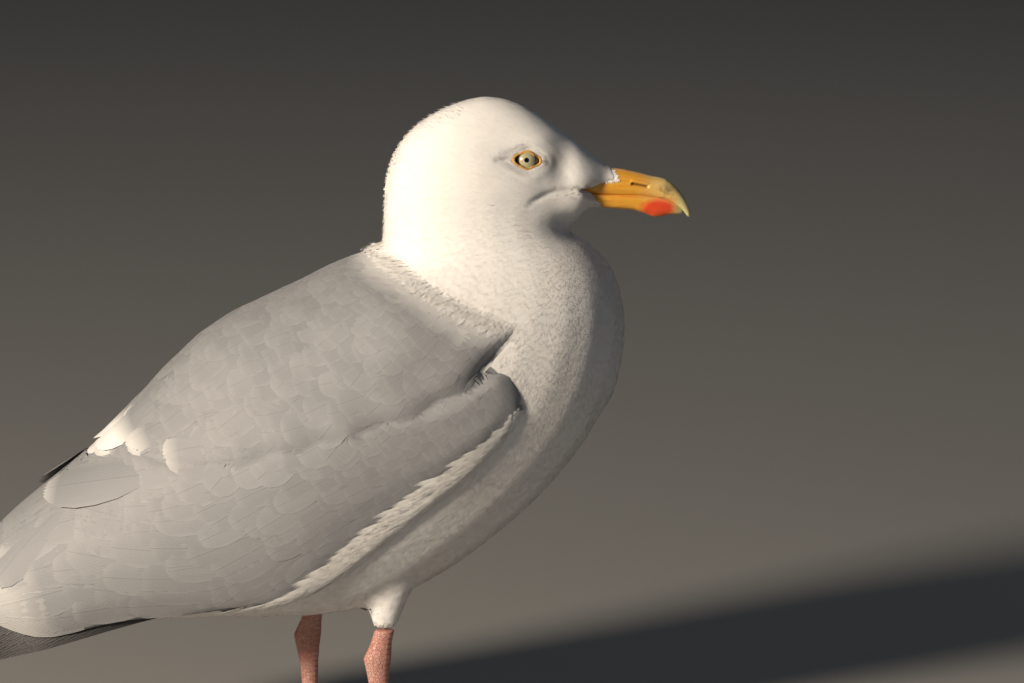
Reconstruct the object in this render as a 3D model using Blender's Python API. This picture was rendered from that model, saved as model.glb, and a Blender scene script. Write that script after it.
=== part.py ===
"""Adult herring gull, standing with its neck drawn in: a still, life-size model.

The bird faces +X, its right side is towards -Y and its toes stand on z = 0. It is modelled
in millimetres about the point between its feet, turned into metres by MM, and carried by the
empty "stance", which sets the middle of the whole bird's footprint on the origin.
"""
import math

import bmesh
import bpy
from mathutils import Vector
from mathutils.bvhtree import BVHTree

MM = 0.001
GAP = 0.3                       # clearance between neighbouring solids
PART_NAME = "herring_gull"
SIDES = (("right", -1), ("left", 1))

# Whole bird
BILL_TIP_X = 146.0
WING_TIP_X = -307.0
CROWN_Z = 342.4

# Head
EYE_CENTRE = Vector((61.2, 15.6, 312.0))
EYE_RADIUS = 7.0
BILL_BASE_X = 86.0

# Folded wings
CLOAK_THICKNESS = 5.5
CLOAK_RIM = 1.2
COVER_CLEARANCE = 1.5           # from the trunk to the cloak, whose coarser faces cut across its curve

# Legs
LEG_X = {"right": -14.0, "left": -43.0}
LEG_Y = 28.0
ANKLE_Z = 64.0
FEATHERED_TO_Z = 79.0
FOOT_TOP_Z = 9.0

TAIL_TIP_X = -250.0

# Sides of the rings that the solids are lofted from
BODY_SIDES = 24
BILL_SIDES = 14
LEG_SIDES = 12
TAIL_SIDES = 18
BLADE_SIDES = 10
TOE_SIDES = 8


# ---------------------------------------------------------------------------
# Tools shared by the parts
# ---------------------------------------------------------------------------
def clear_scene():
    for scene_object in list(bpy.data.objects):
        bpy.data.objects.remove(scene_object, do_unlink=True)


def new_collection(name):
    collection = bpy.data.collections.new(name)
    bpy.context.scene.collection.children.link(collection)
    return collection


def plain_material(name, color, roughness):
    material = bpy.data.materials.new(name)
    material.use_nodes = True
    shader = material.node_tree.nodes["Principled BSDF"]
    shader.inputs["Base Color"].default_value = (*color, 1.0)
    shader.inputs["Roughness"].default_value = roughness
    shader.inputs["Metallic"].default_value = 0.0
    return material


def through(stations, t):
    """The smooth curve (Catmull-Rom) through equal-length tuples, at station number t."""
    last = len(stations) - 1
    t = min(max(t, 0.0), float(last))
    first = min(int(t), last - 1)
    f = t - first
    p0 = stations[max(first - 1, 0)]
    p1 = stations[first]
    p2 = stations[first + 1]
    p3 = stations[min(first + 2, last)]
    weights = (
        0.5 * (-f + 2 * f * f - f ** 3),
        0.5 * (2 - 5 * f * f + 3 * f ** 3),
        0.5 * (f + 4 * f * f - 3 * f ** 3),
        0.5 * (-f * f + f ** 3),
    )
    return tuple(
        weights[0] * a + weights[1] * b + weights[2] * c + weights[3] * d
        for a, b, c, d in zip(p0, p1, p2, p3)
    )


def smooth_step(value):
    value = min(max(value, 0.0), 1.0)
    return value * value * (3.0 - 2.0 * value)


def turns(count):
    """Angles evenly round a circle."""
    return [2 * math.pi * k / count for k in range(count)]


def loft(rings, shell=False):
    """A closed solid through rings of (x, y, z) in millimetres, all with as many points.

    A shell's rings run out along one face and back along the other, so its ends close in a strip.
    """
    bm = bmesh.new()
    loops = [[bm.verts.new(Vector(point) * MM) for point in ring] for ring in rings]
    sides = len(loops[0])
    for near, far in zip(loops, loops[1:]):
        for i in range(sides):
            j = (i + 1) % sides
            bm.faces.new((near[i], near[j], far[j], far[i]))
    for loop in (loops[0], loops[-1]):
        if shell:
            for i in range(sides // 2 - 1):
                bm.faces.new((loop[i], loop[i + 1], loop[-2 - i], loop[-1 - i]))
        else:
            bm.faces.new(loop)
    return bm


def add_object(name, bm, collection, material=None):
    """Without a material it is a cutter: drawn as a wire and left out of renders."""
    mesh = bpy.data.meshes.new(name)
    bmesh.ops.recalc_face_normals(bm, faces=bm.faces)
    bm.to_mesh(mesh)
    bm.free()
    mesh.shade_smooth()
    mesh.set_sharp_from_angle(angle=math.radians(50.0))
    new = bpy.data.objects.new(name, mesh)
    new.parent = stance
    collection.objects.link(new)
    if material:
        mesh.materials.append(material)
    else:
        new.hide_render = True
        new.display_type = "WIRE"
    return new


def boolean(target, cutter, operation):
    modifier = target.modifiers.new(operation.title(), "BOOLEAN")
    modifier.operation = operation
    modifier.solver = "EXACT"
    modifier.object = cutter


# ---------------------------------------------------------------------------
# Head, neck and trunk: one loft from the bill's root to the tail's root,
# through stations that give the back line, the belly line and the full width.
# ---------------------------------------------------------------------------
BODY_STATIONS = (
    # back x, back z, belly x, belly z, width
    (104.5, 305.5, 96.8, 287.0, 15.0),       # bill root
    (94.0, 313.8, 91.5, 281.5, 27.0),        # lores
    (80.8, 325.0, 88.0, 277.6, 35.5),        # forehead
    (62.0, 337.6, 86.0, 275.0, 40.5),        # before the eye
    (42.0, CROWN_Z, 85.0, 273.6, 43.6),      # crown, over the eye
    (20.0, 335.8, 84.8, 272.9, 52.0),        # hind crown
    (3.0, 323.5, 85.2, 272.3, 57.5),         # nape
    (-6.0, 306.0, 86.6, 271.6, 62.0),
    (-8.0, 287.0, 90.2, 270.4, 66.0),        # neck
    (-9.0, 267.0, 97.0, 266.3, 74.0),
    (-17.0, 257.5, 105.5, 254.5, 88.0),      # mantle's front edge
    (-31.0, 250.8, 110.8, 239.0, 103.0),
    (-46.0, 243.6, 111.6, 219.5, 115.0),     # shoulders
    (-62.0, 235.6, 106.6, 194.5, 122.0),
    (-79.0, 226.0, 94.5, 170.0, 126.0),
    (-95.0, 214.0, 73.0, 143.5, 127.0),      # breast keel
    (-111.0, 200.0, 44.5, 118.5, 125.0),
    (-126.0, 183.5, 12.0, 97.5, 120.0),
    (-140.0, 164.0, -24.0, 84.5, 110.0),     # belly, between the legs
    (-154.0, 142.0, -68.0, 82.5, 90.0),
    (-168.0, 119.0, -112.0, 83.5, 65.0),     # vent
    (-180.0, 101.0, -152.0, 80.5, 48.0),     # tail coverts
    (-188.0, 89.5, -184.5, 75.5, 34.0),      # tail's root
)
BODY_FULLNESS = 0.92            # below 1 the rings are fuller than ellipses
RINGS_PER_STATION = 2

# The head is parted from the neck behind the throat, the neck from the trunk at the shoulders:
# each line is two (x, z) points that a plane, square to the side view, passes through.
HEAD_LINE = ((-20.0, 303.0), (88.0, 274.8))
NECK_LINE = ((-17.0, 260.5), (112.0, 229.0))
BEYOND = 600.0                  # past any part of the bird


def body_ring(t, grow):
    back_x, back_z, belly_x, belly_z, width = through(BODY_STATIONS, t)
    middle = Vector(((back_x + belly_x) / 2, 0.0, (back_z + belly_z) / 2))
    upward = Vector((back_x - belly_x, 0.0, back_z - belly_z))
    half_depth = upward.length / 2 + grow
    upward.normalize()
    half_width = width / 2 + grow
    ring = []
    for turn in turns(BODY_SIDES):
        rise = math.copysign(abs(math.cos(turn)) ** BODY_FULLNESS, math.cos(turn))
        side = math.copysign(abs(math.sin(turn)) ** BODY_FULLNESS, math.sin(turn))
        point = middle + upward * (half_depth * rise)
        ring.append((point.x, half_width * side, point.z))
    return ring


def body_loft(grow=0.0):
    steps = (len(BODY_STATIONS) - 1) * RINGS_PER_STATION
    return loft([body_ring(i / RINGS_PER_STATION, grow) for i in range(steps + 1)])


def height_on(line, x):
    (x0, z0), (x1, z1) = line
    return z0 + (z1 - z0) * (x - x0) / (x1 - x0)


def lowered(line, drop):
    return tuple((x, z - drop) for x, z in line)


def slab(lower_line, upper_line):
    """What lies between two planes square to the side view."""
    outline = (
        (-BEYOND, height_on(lower_line, -BEYOND)),
        (BEYOND, height_on(lower_line, BEYOND)),
        (BEYOND, height_on(upper_line, BEYOND)),
        (-BEYOND, height_on(upper_line, -BEYOND)),
    )
    return loft([[(x, y, z) for x, z in outline] for y in (-BEYOND, BEYOND)])


def add_flesh():
    """Head, neck and trunk, each the whole body kept within its own slab."""
    below_all = ((-BEYOND, -BEYOND), (BEYOND, -BEYOND))
    above_all = ((-BEYOND, BEYOND), (BEYOND, BEYOND))
    slabs = {
        "head": (HEAD_LINE, above_all),
        "neck": (NECK_LINE, lowered(HEAD_LINE, GAP)),
        "trunk": (below_all, lowered(NECK_LINE, GAP)),
    }
    flesh = {}
    for name, (lower_line, upper_line) in slabs.items():
        flesh[name] = add_object(name, body_loft(), parts, white)
        boolean(flesh[name], add_object(name + "_slab", slab(lower_line, upper_line), cutters), "INTERSECT")
    return flesh


# ---------------------------------------------------------------------------
# Bill: an upper and a lower mandible, lofted from sections square to x,
# with their roots let into the head.
# ---------------------------------------------------------------------------
UPPER_MANDIBLE = (
    # x, culmen z, cutting edge z, width
    (BILL_BASE_X, 298.5, 294.4, 8.0),
    (95.0, 303.0, 292.8, 13.6),
    (106.0, 304.6, 291.7, 13.0),
    (118.0, 302.4, 291.1, 11.0),
    (127.0, 299.9, 289.9, 9.8),
    (133.5, 298.2, 288.2, 9.0),
    (138.5, 294.4, 286.2, 7.8),
    (142.5, 289.8, 283.2, 5.8),
    (145.0, 285.0, 280.0, 3.6),
    (BILL_TIP_X, 281.0, 279.0, 1.6),
)
LOWER_MANDIBLE = (
    # x, cutting edge z, underside z, width
    (BILL_BASE_X, 293.9, 288.4, 8.0),
    (95.0, 292.4, 285.9, 12.6),
    (106.0, 291.3, 284.4, 11.2),
    (118.0, 290.7, 283.3, 9.4),
    (128.0, 289.2, 279.9, 8.2),               # gonys
    (134.0, 287.7, 280.3, 7.2),
    (139.0, 285.6, 280.6, 5.4),
    (142.2, 282.7, 280.7, 2.6),
)
BILL_RINGS_PER_STATION = 2
CUTTING_FACE_FLATNESS = 0.45    # powers that square a ring's cutting side and leave its ridge round
CUTTING_FACE_BREADTH = 0.6


def mandible_loft(sections, cutting_side, grow=0.0):
    """cutting_side is -1 where the cutting edge is the underside, 1 where it is the top."""
    rings = []
    for i in range((len(sections) - 1) * BILL_RINGS_PER_STATION + 1):
        x, top, bottom, width = through(sections, i / BILL_RINGS_PER_STATION)
        middle = (top + bottom) / 2
        half_height = (top - bottom) / 2 + grow
        ring = []
        for turn in turns(BILL_SIDES):
            rise = math.cos(turn)
            breadth = abs(math.sin(turn))
            if rise * cutting_side > 0:
                rise = math.copysign(abs(rise) ** CUTTING_FACE_FLATNESS, rise)
                breadth = breadth ** CUTTING_FACE_BREADTH
            y = math.copysign((width / 2 + grow) * breadth, math.sin(turn))
            ring.append((x, y, middle + half_height * rise))
        rings.append(ring)
    rings[0] = [(x - grow, y, z) for x, y, z in rings[0]]
    return loft(rings)


def add_bill(head):
    mandibles = (("bill_upper", UPPER_MANDIBLE, -1), ("bill_lower", LOWER_MANDIBLE, 1))
    for name, sections, cutting_side in mandibles:
        add_object(name, mandible_loft(sections, cutting_side), parts, yellow_horn)
        socket = add_object(name + "_socket", mandible_loft(sections, cutting_side, GAP), cutters)
        boolean(head, socket, "DIFFERENCE")


# ---------------------------------------------------------------------------
# Eyes: balls let into the sides of the head.
# ---------------------------------------------------------------------------
def ball(radius, centre):
    bm = bmesh.new()
    bmesh.ops.create_uvsphere(bm, u_segments=14, v_segments=9, radius=radius * MM)
    bmesh.ops.translate(bm, verts=bm.verts, vec=centre * MM)
    return bm


def add_eye(side_name, side, head):
    centre = Vector((EYE_CENTRE.x, side * EYE_CENTRE.y, EYE_CENTRE.z))
    add_object("eye_" + side_name, ball(EYE_RADIUS, centre), parts, pale_eye)
    socket = add_object("eye_socket_" + side_name, ball(EYE_RADIUS + GAP, centre), cutters)
    boolean(head, socket, "DIFFERENCE")


# ---------------------------------------------------------------------------
# Cloak: the mantle, scapulars and folded wings lie over the trunk as one cloak,
# from the ridge of the back to the wings' lower edges, parted into its tracts.
# A point of it has a section number s, along the bird, and a share v, across it:
# 0 at the ridge, -1 at the right wing's lower edge and 1 at the left one's.
# ---------------------------------------------------------------------------
CLOAK_SECTIONS = (
    # ridge x, ridge z, edge x, edge y, edge z, widest half-width
    (-8.0, 267.0, 62.0, 54.5, 202.5, 55.0),
    (-28.0, 261.5, 43.0, 60.5, 178.0, 65.0),
    (-50.5, 250.6, 19.5, 61.5, 160.5, 69.5),
    (-73.0, 241.0, -6.0, 60.0, 141.0, 71.0),
    (-94.0, 230.0, -31.0, 57.0, 120.5, 70.0),
    (-114.0, 212.6, -56.0, 51.0, 98.5, 66.5),
    (-131.0, 194.4, -86.0, 46.0, 92.5, 61.0),
    (-146.5, 177.8, -117.0, 42.0, 92.0, 54.5),
    (-167.0, 160.6, -150.0, 38.0, 88.5, 47.0),
    (-189.0, 143.6, -181.0, 34.0, 80.5, 40.0),
    (-208.0, 125.0, -205.0, 29.0, 88.0, 32.0),
    (-222.0, 109.0, -220.0, 24.0, 96.0, 25.0),
)
CLOAK_END = len(CLOAK_SECTIONS) - 1
TRUNK_END = 8.4                 # past this section the trunk no longer fills the cloak

MANTLE_END = 3.6
MANTLE_HALF = 0.17
SCAPULARS_END = 7.25
SCAPULARS_CLOSE_FROM = 5.0
WING_END = 5.0
CUT = 0.006                     # a thin cut between two tracts, as a share of a section's length
FRONT_BOW = 21.0                # how far the scapulars' lower fore corner stands ahead of section 0
FRONT_BOW_SECTIONS = 2.4


def no_bow(s, v):
    return 0.0


def scapular_bow(s, v):
    """The forward bow of the scapulars' front, strongest at its lower corner."""
    share = min(abs(v) / scapular_edge(s), 1.0)
    fading = max(1 - s / FRONT_BOW_SECTIONS, 0.0)
    return FRONT_BOW * share ** 3.5 * fading * fading


def mantle_half(s):
    """Half the mantle's width between the shoulders; past its end, half the midline's cut."""
    return max(MANTLE_HALF * (1 - (s / MANTLE_END) ** 3), CUT) if s < MANTLE_END else CUT


def scapular_edge(s):
    """The scapulars' lower edge: low over the wing's fore part, then rising to a round end."""
    closing = max(s - SCAPULARS_CLOSE_FROM, 0.0) / (SCAPULARS_END + 0.05 - SCAPULARS_CLOSE_FROM)
    return (0.82 - 0.045 * s - 0.004 * s * s) * math.sqrt(max(1 - closing * closing, 0.0))


def lower_edge(s):
    return 1.0


def below_mantle(s):
    return mantle_half(s) + CUT


def below_scapulars(s):
    return scapular_edge(s) + CUT if s < SCAPULARS_END else CUT


def cloak_arc(s, v, bow):
    """The outer point at (s, v), moved forward by bow, and the middle of its section."""
    ridge_x, ridge_z, edge_x, edge_y, edge_z, widest = through(CLOAK_SECTIONS, s)
    ridge = Vector((ridge_x, 0.0, ridge_z))
    edge = Vector((edge_x, 0.0, edge_z))
    full_turn = math.pi - math.asin(min(edge_y / widest, 1.0))
    turn = abs(v) * full_turn
    fall = (1 - math.cos(turn)) / (1 - math.cos(full_turn))
    downward = (edge - ridge).normalized()
    forward = Vector((-downward.z, 0.0, downward.x))
    point = ridge.lerp(edge, fall) + forward * bow
    point.y = math.copysign(widest * math.sin(turn), v)
    return point, ridge.lerp(edge, 0.5)


def cloak_pair(trunk, s, v, thickness, bow):
    """The cloak's outer and inner points, pushed out wherever the trunk comes close."""
    outer, middle = cloak_arc(s, v, bow)
    outward = (outer - middle).normalized()
    outer_reach = (outer - middle).length
    inner_reach = outer_reach - thickness
    if s < TRUNK_END:
        hit_point, _, _, hit_reach = trunk.ray_cast(middle * MM, outward)
        if hit_point is not None:
            covered = hit_reach / MM + COVER_CLEARANCE
            inner_reach = max(inner_reach, covered)
            outer_reach = max(outer_reach, covered + thickness)
    return middle + outward * outer_reach, middle + outward * inner_reach


def tract_loft(trunk, s_range, v_from, v_to, columns, rows, bow=no_bow, thick_rims=()):
    """A closed shell over part of the cloak; v_from and v_to are functions of s.

    Its rims thin out, apart from those named, where it meets the next tract at full depth.
    """
    s_start, s_end = s_range
    rings = []
    for i in range(columns + 1):
        s = s_start + (s_end - s_start) * i / columns
        outer_row = []
        inner_row = []
        for k in range(rows + 1):
            v = v_from(s) + (v_to(s) - v_from(s)) * k / rows
            rims = {"front": i / 2, "rear": (columns - i) / 4, "edge": (rows - k) / 2}
            depth = min([1.0] + [share for rim, share in rims.items() if rim not in thick_rims])
            thickness = CLOAK_RIM + (CLOAK_THICKNESS - CLOAK_RIM) * smooth_step(depth)
            outer, inner = cloak_pair(trunk, s, v, thickness, bow(s, v))
            outer_row.append(outer)
            inner_row.append(inner)
        rings.append(outer_row + inner_row[::-1])
    return loft(rings, shell=True)


def add_mantle(trunk):
    mantle = tract_loft(trunk, (0.0, MANTLE_END), lambda s: -mantle_half(s), mantle_half, 8, 6,
                        thick_rims=("edge", "rear"))
    add_object("mantle", mantle, parts, grey)


def add_wing_tracts(trunk, side_name, side):
    tracts = (
        ("scapulars", (0.0, SCAPULARS_END), below_mantle, scapular_edge, 14, 6, scapular_bow),
        ("wing", (0.0, WING_END), below_scapulars, lower_edge, 10, 5, no_bow),
        ("tertials", (WING_END + 3 * CUT, CLOAK_END), below_scapulars, lower_edge, 14, 7, no_bow),
    )
    for tract, s_range, v_from, v_to, columns, rows, bow in tracts:
        shell = tract_loft(trunk, s_range, lambda s: side * v_from(s), lambda s: side * v_to(s),
                           columns, rows, bow)
        add_object(f"{tract}_{side_name}", shell, parts, grey)


# ---------------------------------------------------------------------------
# Primaries: the folded wing tip of each side, a thin pointed blade that leaves the
# cloak between the tertials and the tail, its outer edge the lower one.
# ---------------------------------------------------------------------------
PRIMARY_STATIONS = (
    # lower edge x, y, z, upper edge x, y, z, thickness
    (-119.0, 36.0, 91.6, -117.5, 37.5, 97.0, 1.2),
    (-135.0, 35.6, 88.2, -134.0, 37.0, 99.5, 1.8),
    (-150.0, 34.6, 84.6, -149.5, 33.4, 102.5, 2.4),
    (-180.0, 33.5, 77.0, -181.0, 20.0, 103.0, 2.8),
    (-207.0, 29.5, 71.0, -209.0, 8.0, 91.0, 2.4),
    (-237.0, 24.0, 64.6, -240.0, 5.0, 80.0, 2.0),
    (-267.0, 18.0, 58.5, -270.0, 4.5, 68.5, 1.6),
    (-292.0, 12.5, 53.8, -293.0, 6.0, 58.0, 1.2),
    (WING_TIP_X, 9.0, 51.0, WING_TIP_X, 7.5, 52.2, 0.8),
)


def primaries_loft(side):
    rings = []
    for low_x, low_y, low_z, high_x, high_y, high_z, thickness in PRIMARY_STATIONS:
        low = Vector((low_x, low_y, low_z))
        high = Vector((high_x, high_y, high_z))
        across = high - low
        outward = across.cross(Vector((1, 0, 0))).normalized()
        ring = []
        for turn in turns(BLADE_SIDES):
            point = low.lerp(high, 0.5 + 0.5 * math.cos(turn)) + outward * (thickness / 2 * math.sin(turn))
            ring.append((point.x, side * point.y, point.z))
        rings.append(ring)
    return loft(rings)


# ---------------------------------------------------------------------------
# Tail: round where it leaves the trunk, then a flat fan with drooping sides.
# ---------------------------------------------------------------------------
TAIL_STATIONS = (
    # x, z of the middle, width, thickness, droop of the sides, lead of the sides
    (-188.6, 82.0, 33.0, 12.5, 0.0, 0.0),
    (-196.0, 78.0, 38.0, 8.0, 0.8, 0.5),
    (-205.0, 74.2, 42.0, 4.6, 1.6, 1.5),
    (-220.0, 69.4, 46.0, 3.2, 2.0, 3.0),
    (-236.0, 65.2, 49.0, 2.4, 2.2, 4.5),
    (TAIL_TIP_X, 62.0, 50.0, 1.4, 2.4, 5.0),
)


def tail_loft():
    rings = []
    for x, z, width, thickness, droop, lead in TAIL_STATIONS:
        ring = []
        for turn in turns(TAIL_SIDES):
            across = math.sin(turn)
            rise = math.copysign(abs(math.cos(turn)) ** 0.7, math.cos(turn))
            ring.append((x + lead * across ** 2, width / 2 * across, z + thickness / 2 * rise - droop * across ** 2))
        rings.append(ring)
    return loft(rings)


# ---------------------------------------------------------------------------
# Legs: a feathered thigh cut to the belly, and a bare shank with the ankle's bulge.
# ---------------------------------------------------------------------------
THIGH_STATIONS = (
    # z, forward shift, depth fore and aft, width
    (118.0, 6.0, 34.0, 26.0),
    (101.0, 5.0, 26.0, 20.0),
    (90.0, 3.6, 18.6, 15.0),
    (FEATHERED_TO_Z, 2.6, 13.0, 10.8),
)
SHANK_STATIONS = (
    (FEATHERED_TO_Z - GAP, 2.5, 10.2, 8.0),
    (72.0, 0.8, 10.8, 8.2),
    (ANKLE_Z, -1.2, 14.2, 9.4),
    (58.0, -1.0, 12.0, 8.4),
    (48.0, -0.4, 9.4, 6.8),
    (34.0, 0.0, 7.8, 6.0),
    (20.0, 0.4, 8.0, 6.6),
    (FOOT_TOP_Z + GAP, 1.2, 9.4, 8.8),
)


def leg_loft(stations, leg_x, side):
    rings = []
    for z, shift, depth, width in stations:
        rings.append([
            (leg_x + shift + depth / 2 * math.cos(turn), side * (LEG_Y + width / 2 * math.sin(turn)), z)
            for turn in turns(LEG_SIDES)
        ])
    return loft(rings)


# ---------------------------------------------------------------------------
# Feet: a hub under the shank, three toes with flat soles, the webs between them and a
# small hind toe clear of the floor, all one piece, with a claw ahead of each front toe.
# ---------------------------------------------------------------------------
TOES = (
    # name, length, turn outward in degrees, radius at the root
    ("inner", 41.0, -30.0, 3.5),
    ("middle", 52.0, 1.0, 3.9),
    ("outer", 49.0, 30.0, 3.5),
)
FOOT_LEAD = 1.5                 # the hub's middle, ahead of the shank's
HUB_STATIONS = ((0.0, 4.6), (3.0, 5.6), (6.0, 5.0), (FOOT_TOP_Z, 4.3))    # z, radius
TOE_START = 3.0                 # the toes' roots, from the hub's middle
TOE_STEPS = 6
TOE_TIP_RADIUS = 2.3
TOE_SOLE = 0.8                  # height of a toe's middle, in radii, so its sole is a flat
KNUCKLE = 0.28
WEB_TOP = 2.4
WEB_THICKNESS = 1.3
WEB_REACH = 0.93                # of the toes' lengths, less the hollow of its front edge
WEB_HOLLOW = 0.20
WEB_STEPS = 6
CLAW_LENGTH = 8.0
CLAW_RADIUS = 1.9
CLAW_DROP = 1.6
HALLUX_START = (-1.0, -1.4, 6.4)        # from the hub's middle: behind, inwards and up
HALLUX_HEADING = (-0.86, -0.22, -0.46)
HALLUX_LENGTH = 11.0
HALLUX_RADII = (2.2, 1.3)


def toe_heading(turn, side):
    angle = math.radians(turn)
    return Vector((math.cos(angle), side * math.sin(angle), 0.0))


def toe_point(leg_x, side, length, turn, along):
    hub = Vector((leg_x + FOOT_LEAD, side * LEG_Y, 0.0))
    return hub + toe_heading(turn, side) * (TOE_START + length * along)


def tube(centres_and_radii, across, upward, sides, flatten=1.0):
    """Rings square to a limb's heading; none of them dips below the floor."""
    rings = []
    for centre, radius in centres_and_radii:
        ring = []
        for turn in turns(sides):
            point = centre + across * (flatten * radius * math.sin(turn)) + upward * (radius * math.cos(turn))
            ring.append((point.x, point.y, max(point.z, 0.0)))
        rings.append(ring)
    return loft(rings)


def toe_loft(leg_x, side, length, turn, root_radius):
    heading = toe_heading(turn, side)
    line = []
    for i in range(TOE_STEPS + 1):
        along = i / TOE_STEPS
        knuckles = KNUCKLE * max(0.0, math.cos(along * TOE_STEPS * math.pi)) * (1 - along)
        radius = root_radius + (TOE_TIP_RADIUS - root_radius) * along + knuckles
        centre = toe_point(leg_x, side, length, turn, along)
        centre.z = radius * TOE_SOLE
        line.append((centre, radius))
    return tube(line, Vector((-heading.y, heading.x, 0.0)), Vector((0, 0, 1)), TOE_SIDES)


def claw_loft(leg_x, side, length, turn):
    """A hooked cone ahead of the toe's end, its point just clear of the floor."""
    heading = toe_heading(turn, side)
    base = toe_point(leg_x, side, length, turn, 1.0) + heading * GAP
    line = []
    for along in (0.0, 0.25, 0.5, 0.75, 1.0):
        radius = CLAW_RADIUS * (1 - along) ** 0.7 + GAP
        centre = base + heading * (CLAW_LENGTH * along)
        centre.z = max(TOE_TIP_RADIUS - CLAW_DROP * along * along, radius + GAP)
        line.append((centre, radius))
    return tube(line, Vector((-heading.y, heading.x, 0.0)), Vector((0, 0, 1)), TOE_SIDES, flatten=0.75)


def hallux_loft(leg_x, side):
    start_x, start_inside, start_z = HALLUX_START
    start = Vector((leg_x + start_x, side * (LEG_Y + start_inside), start_z))
    heading_x, heading_inside, heading_z = HALLUX_HEADING
    heading = Vector((heading_x, side * heading_inside, heading_z)).normalized()
    across = Vector((-heading.y, heading.x, 0.0)).normalized()
    thick, thin = HALLUX_RADII
    line = [(start + heading * (HALLUX_LENGTH * along), thick + (thin - thick) * along)
            for along in (0.0, 0.33, 0.67, 1.0)]
    return tube(line, across, heading.cross(across), TOE_SIDES)


def web_loft(leg_x, side):
    """A thin sheet from toe to toe, its front edges hollowed between the tips."""
    outline = [(leg_x + FOOT_LEAD, side * LEG_Y)]
    for (_, length_a, turn_a, _), (_, length_b, turn_b, _) in zip(TOES, TOES[1:]):
        for i in range(WEB_STEPS + 1):
            share = i / WEB_STEPS
            reach = WEB_REACH - WEB_HOLLOW * math.sin(math.pi * share)
            length = length_a + (length_b - length_a) * share
            point = toe_point(leg_x, side, length, turn_a + (turn_b - turn_a) * share, reach)
            outline.append((point.x, point.y))
    return loft([[(x, y, z) for x, y in outline] for z in (WEB_TOP - WEB_THICKNESS, WEB_TOP)])


def hub_loft(leg_x, side):
    rings = []
    for z, radius in HUB_STATIONS:
        rings.append([
            (leg_x + FOOT_LEAD + radius * math.cos(turn), side * (LEG_Y + radius * math.sin(turn)), z)
            for turn in turns(LEG_SIDES)
        ])
    return loft(rings)


def add_leg(side_name, side, grown_body):
    leg_x = LEG_X[side_name]
    thigh = add_object("thigh_" + side_name, leg_loft(THIGH_STATIONS, leg_x, side), parts, white)
    boolean(thigh, grown_body, "DIFFERENCE")
    add_object("shank_" + side_name, leg_loft(SHANK_STATIONS, leg_x, side), parts, pink_skin)

    foot = add_object("foot_" + side_name, hub_loft(leg_x, side), parts, pink_skin)
    boolean(foot, add_object("web_" + side_name, web_loft(leg_x, side), cutters), "UNION")
    for toe_name, length, turn, root_radius in TOES:
        toe = toe_loft(leg_x, side, length, turn, root_radius)
        boolean(foot, add_object(f"toe_{toe_name}_{side_name}", toe, cutters), "UNION")
        claw = claw_loft(leg_x, side, length, turn)
        add_object(f"claw_{toe_name}_{side_name}", claw, parts, dark_horn)
    hallux = add_object("hallux_" + side_name, hallux_loft(leg_x, side), cutters)
    boolean(foot, hallux, "UNION")


# ---------------------------------------------------------------------------
# Assembly
# ---------------------------------------------------------------------------
clear_scene()
parts = new_collection(PART_NAME)
cutters = new_collection("cutters")

stance = bpy.data.objects.new("stance", None)
stance.location.x = -(BILL_TIP_X + WING_TIP_X) / 2 * MM
parts.objects.link(stance)

white = plain_material("white feathers", (0.86, 0.85, 0.83), 0.8)
grey = plain_material("grey feathers", (0.48, 0.49, 0.51), 0.8)
black = plain_material("black feathers", (0.02, 0.02, 0.022), 0.6)
yellow_horn = plain_material("bill horn", (0.85, 0.50, 0.08), 0.4)
pink_skin = plain_material("leg skin", (0.66, 0.38, 0.33), 0.5)
dark_horn = plain_material("claw horn", (0.03, 0.028, 0.025), 0.4)
pale_eye = plain_material("eye", (0.70, 0.66, 0.50), 0.1)

flesh_parts = add_flesh()
add_bill(flesh_parts["head"])

trunk_mesh = body_loft()
trunk_surface = BVHTree.FromBMesh(trunk_mesh)
trunk_mesh.free()
grown = add_object("grown_body", body_loft(GAP), cutters)

add_mantle(trunk_surface)
for name_of_side, sign_of_side in SIDES:
    add_eye(name_of_side, sign_of_side, flesh_parts["head"])
    add_wing_tracts(trunk_surface, name_of_side, sign_of_side)
    add_object("primaries_" + name_of_side, primaries_loft(sign_of_side), parts, black)
    add_leg(name_of_side, sign_of_side, grown)
add_object("tail", tail_loft(), parts, white)
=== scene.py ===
"""Adult herring gull, standing with its neck drawn in: the looks of the museum model.

The bird faces +X, its right side is towards -Y and it stands on z = 0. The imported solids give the
form; the hide, plumage, eyes, bill and legs below are built over them and take their places.
"""
import heapq
import math

import bmesh
import bpy
import numpy as np
from mathutils import Matrix, Vector
from mathutils.bvhtree import BVHTree


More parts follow.
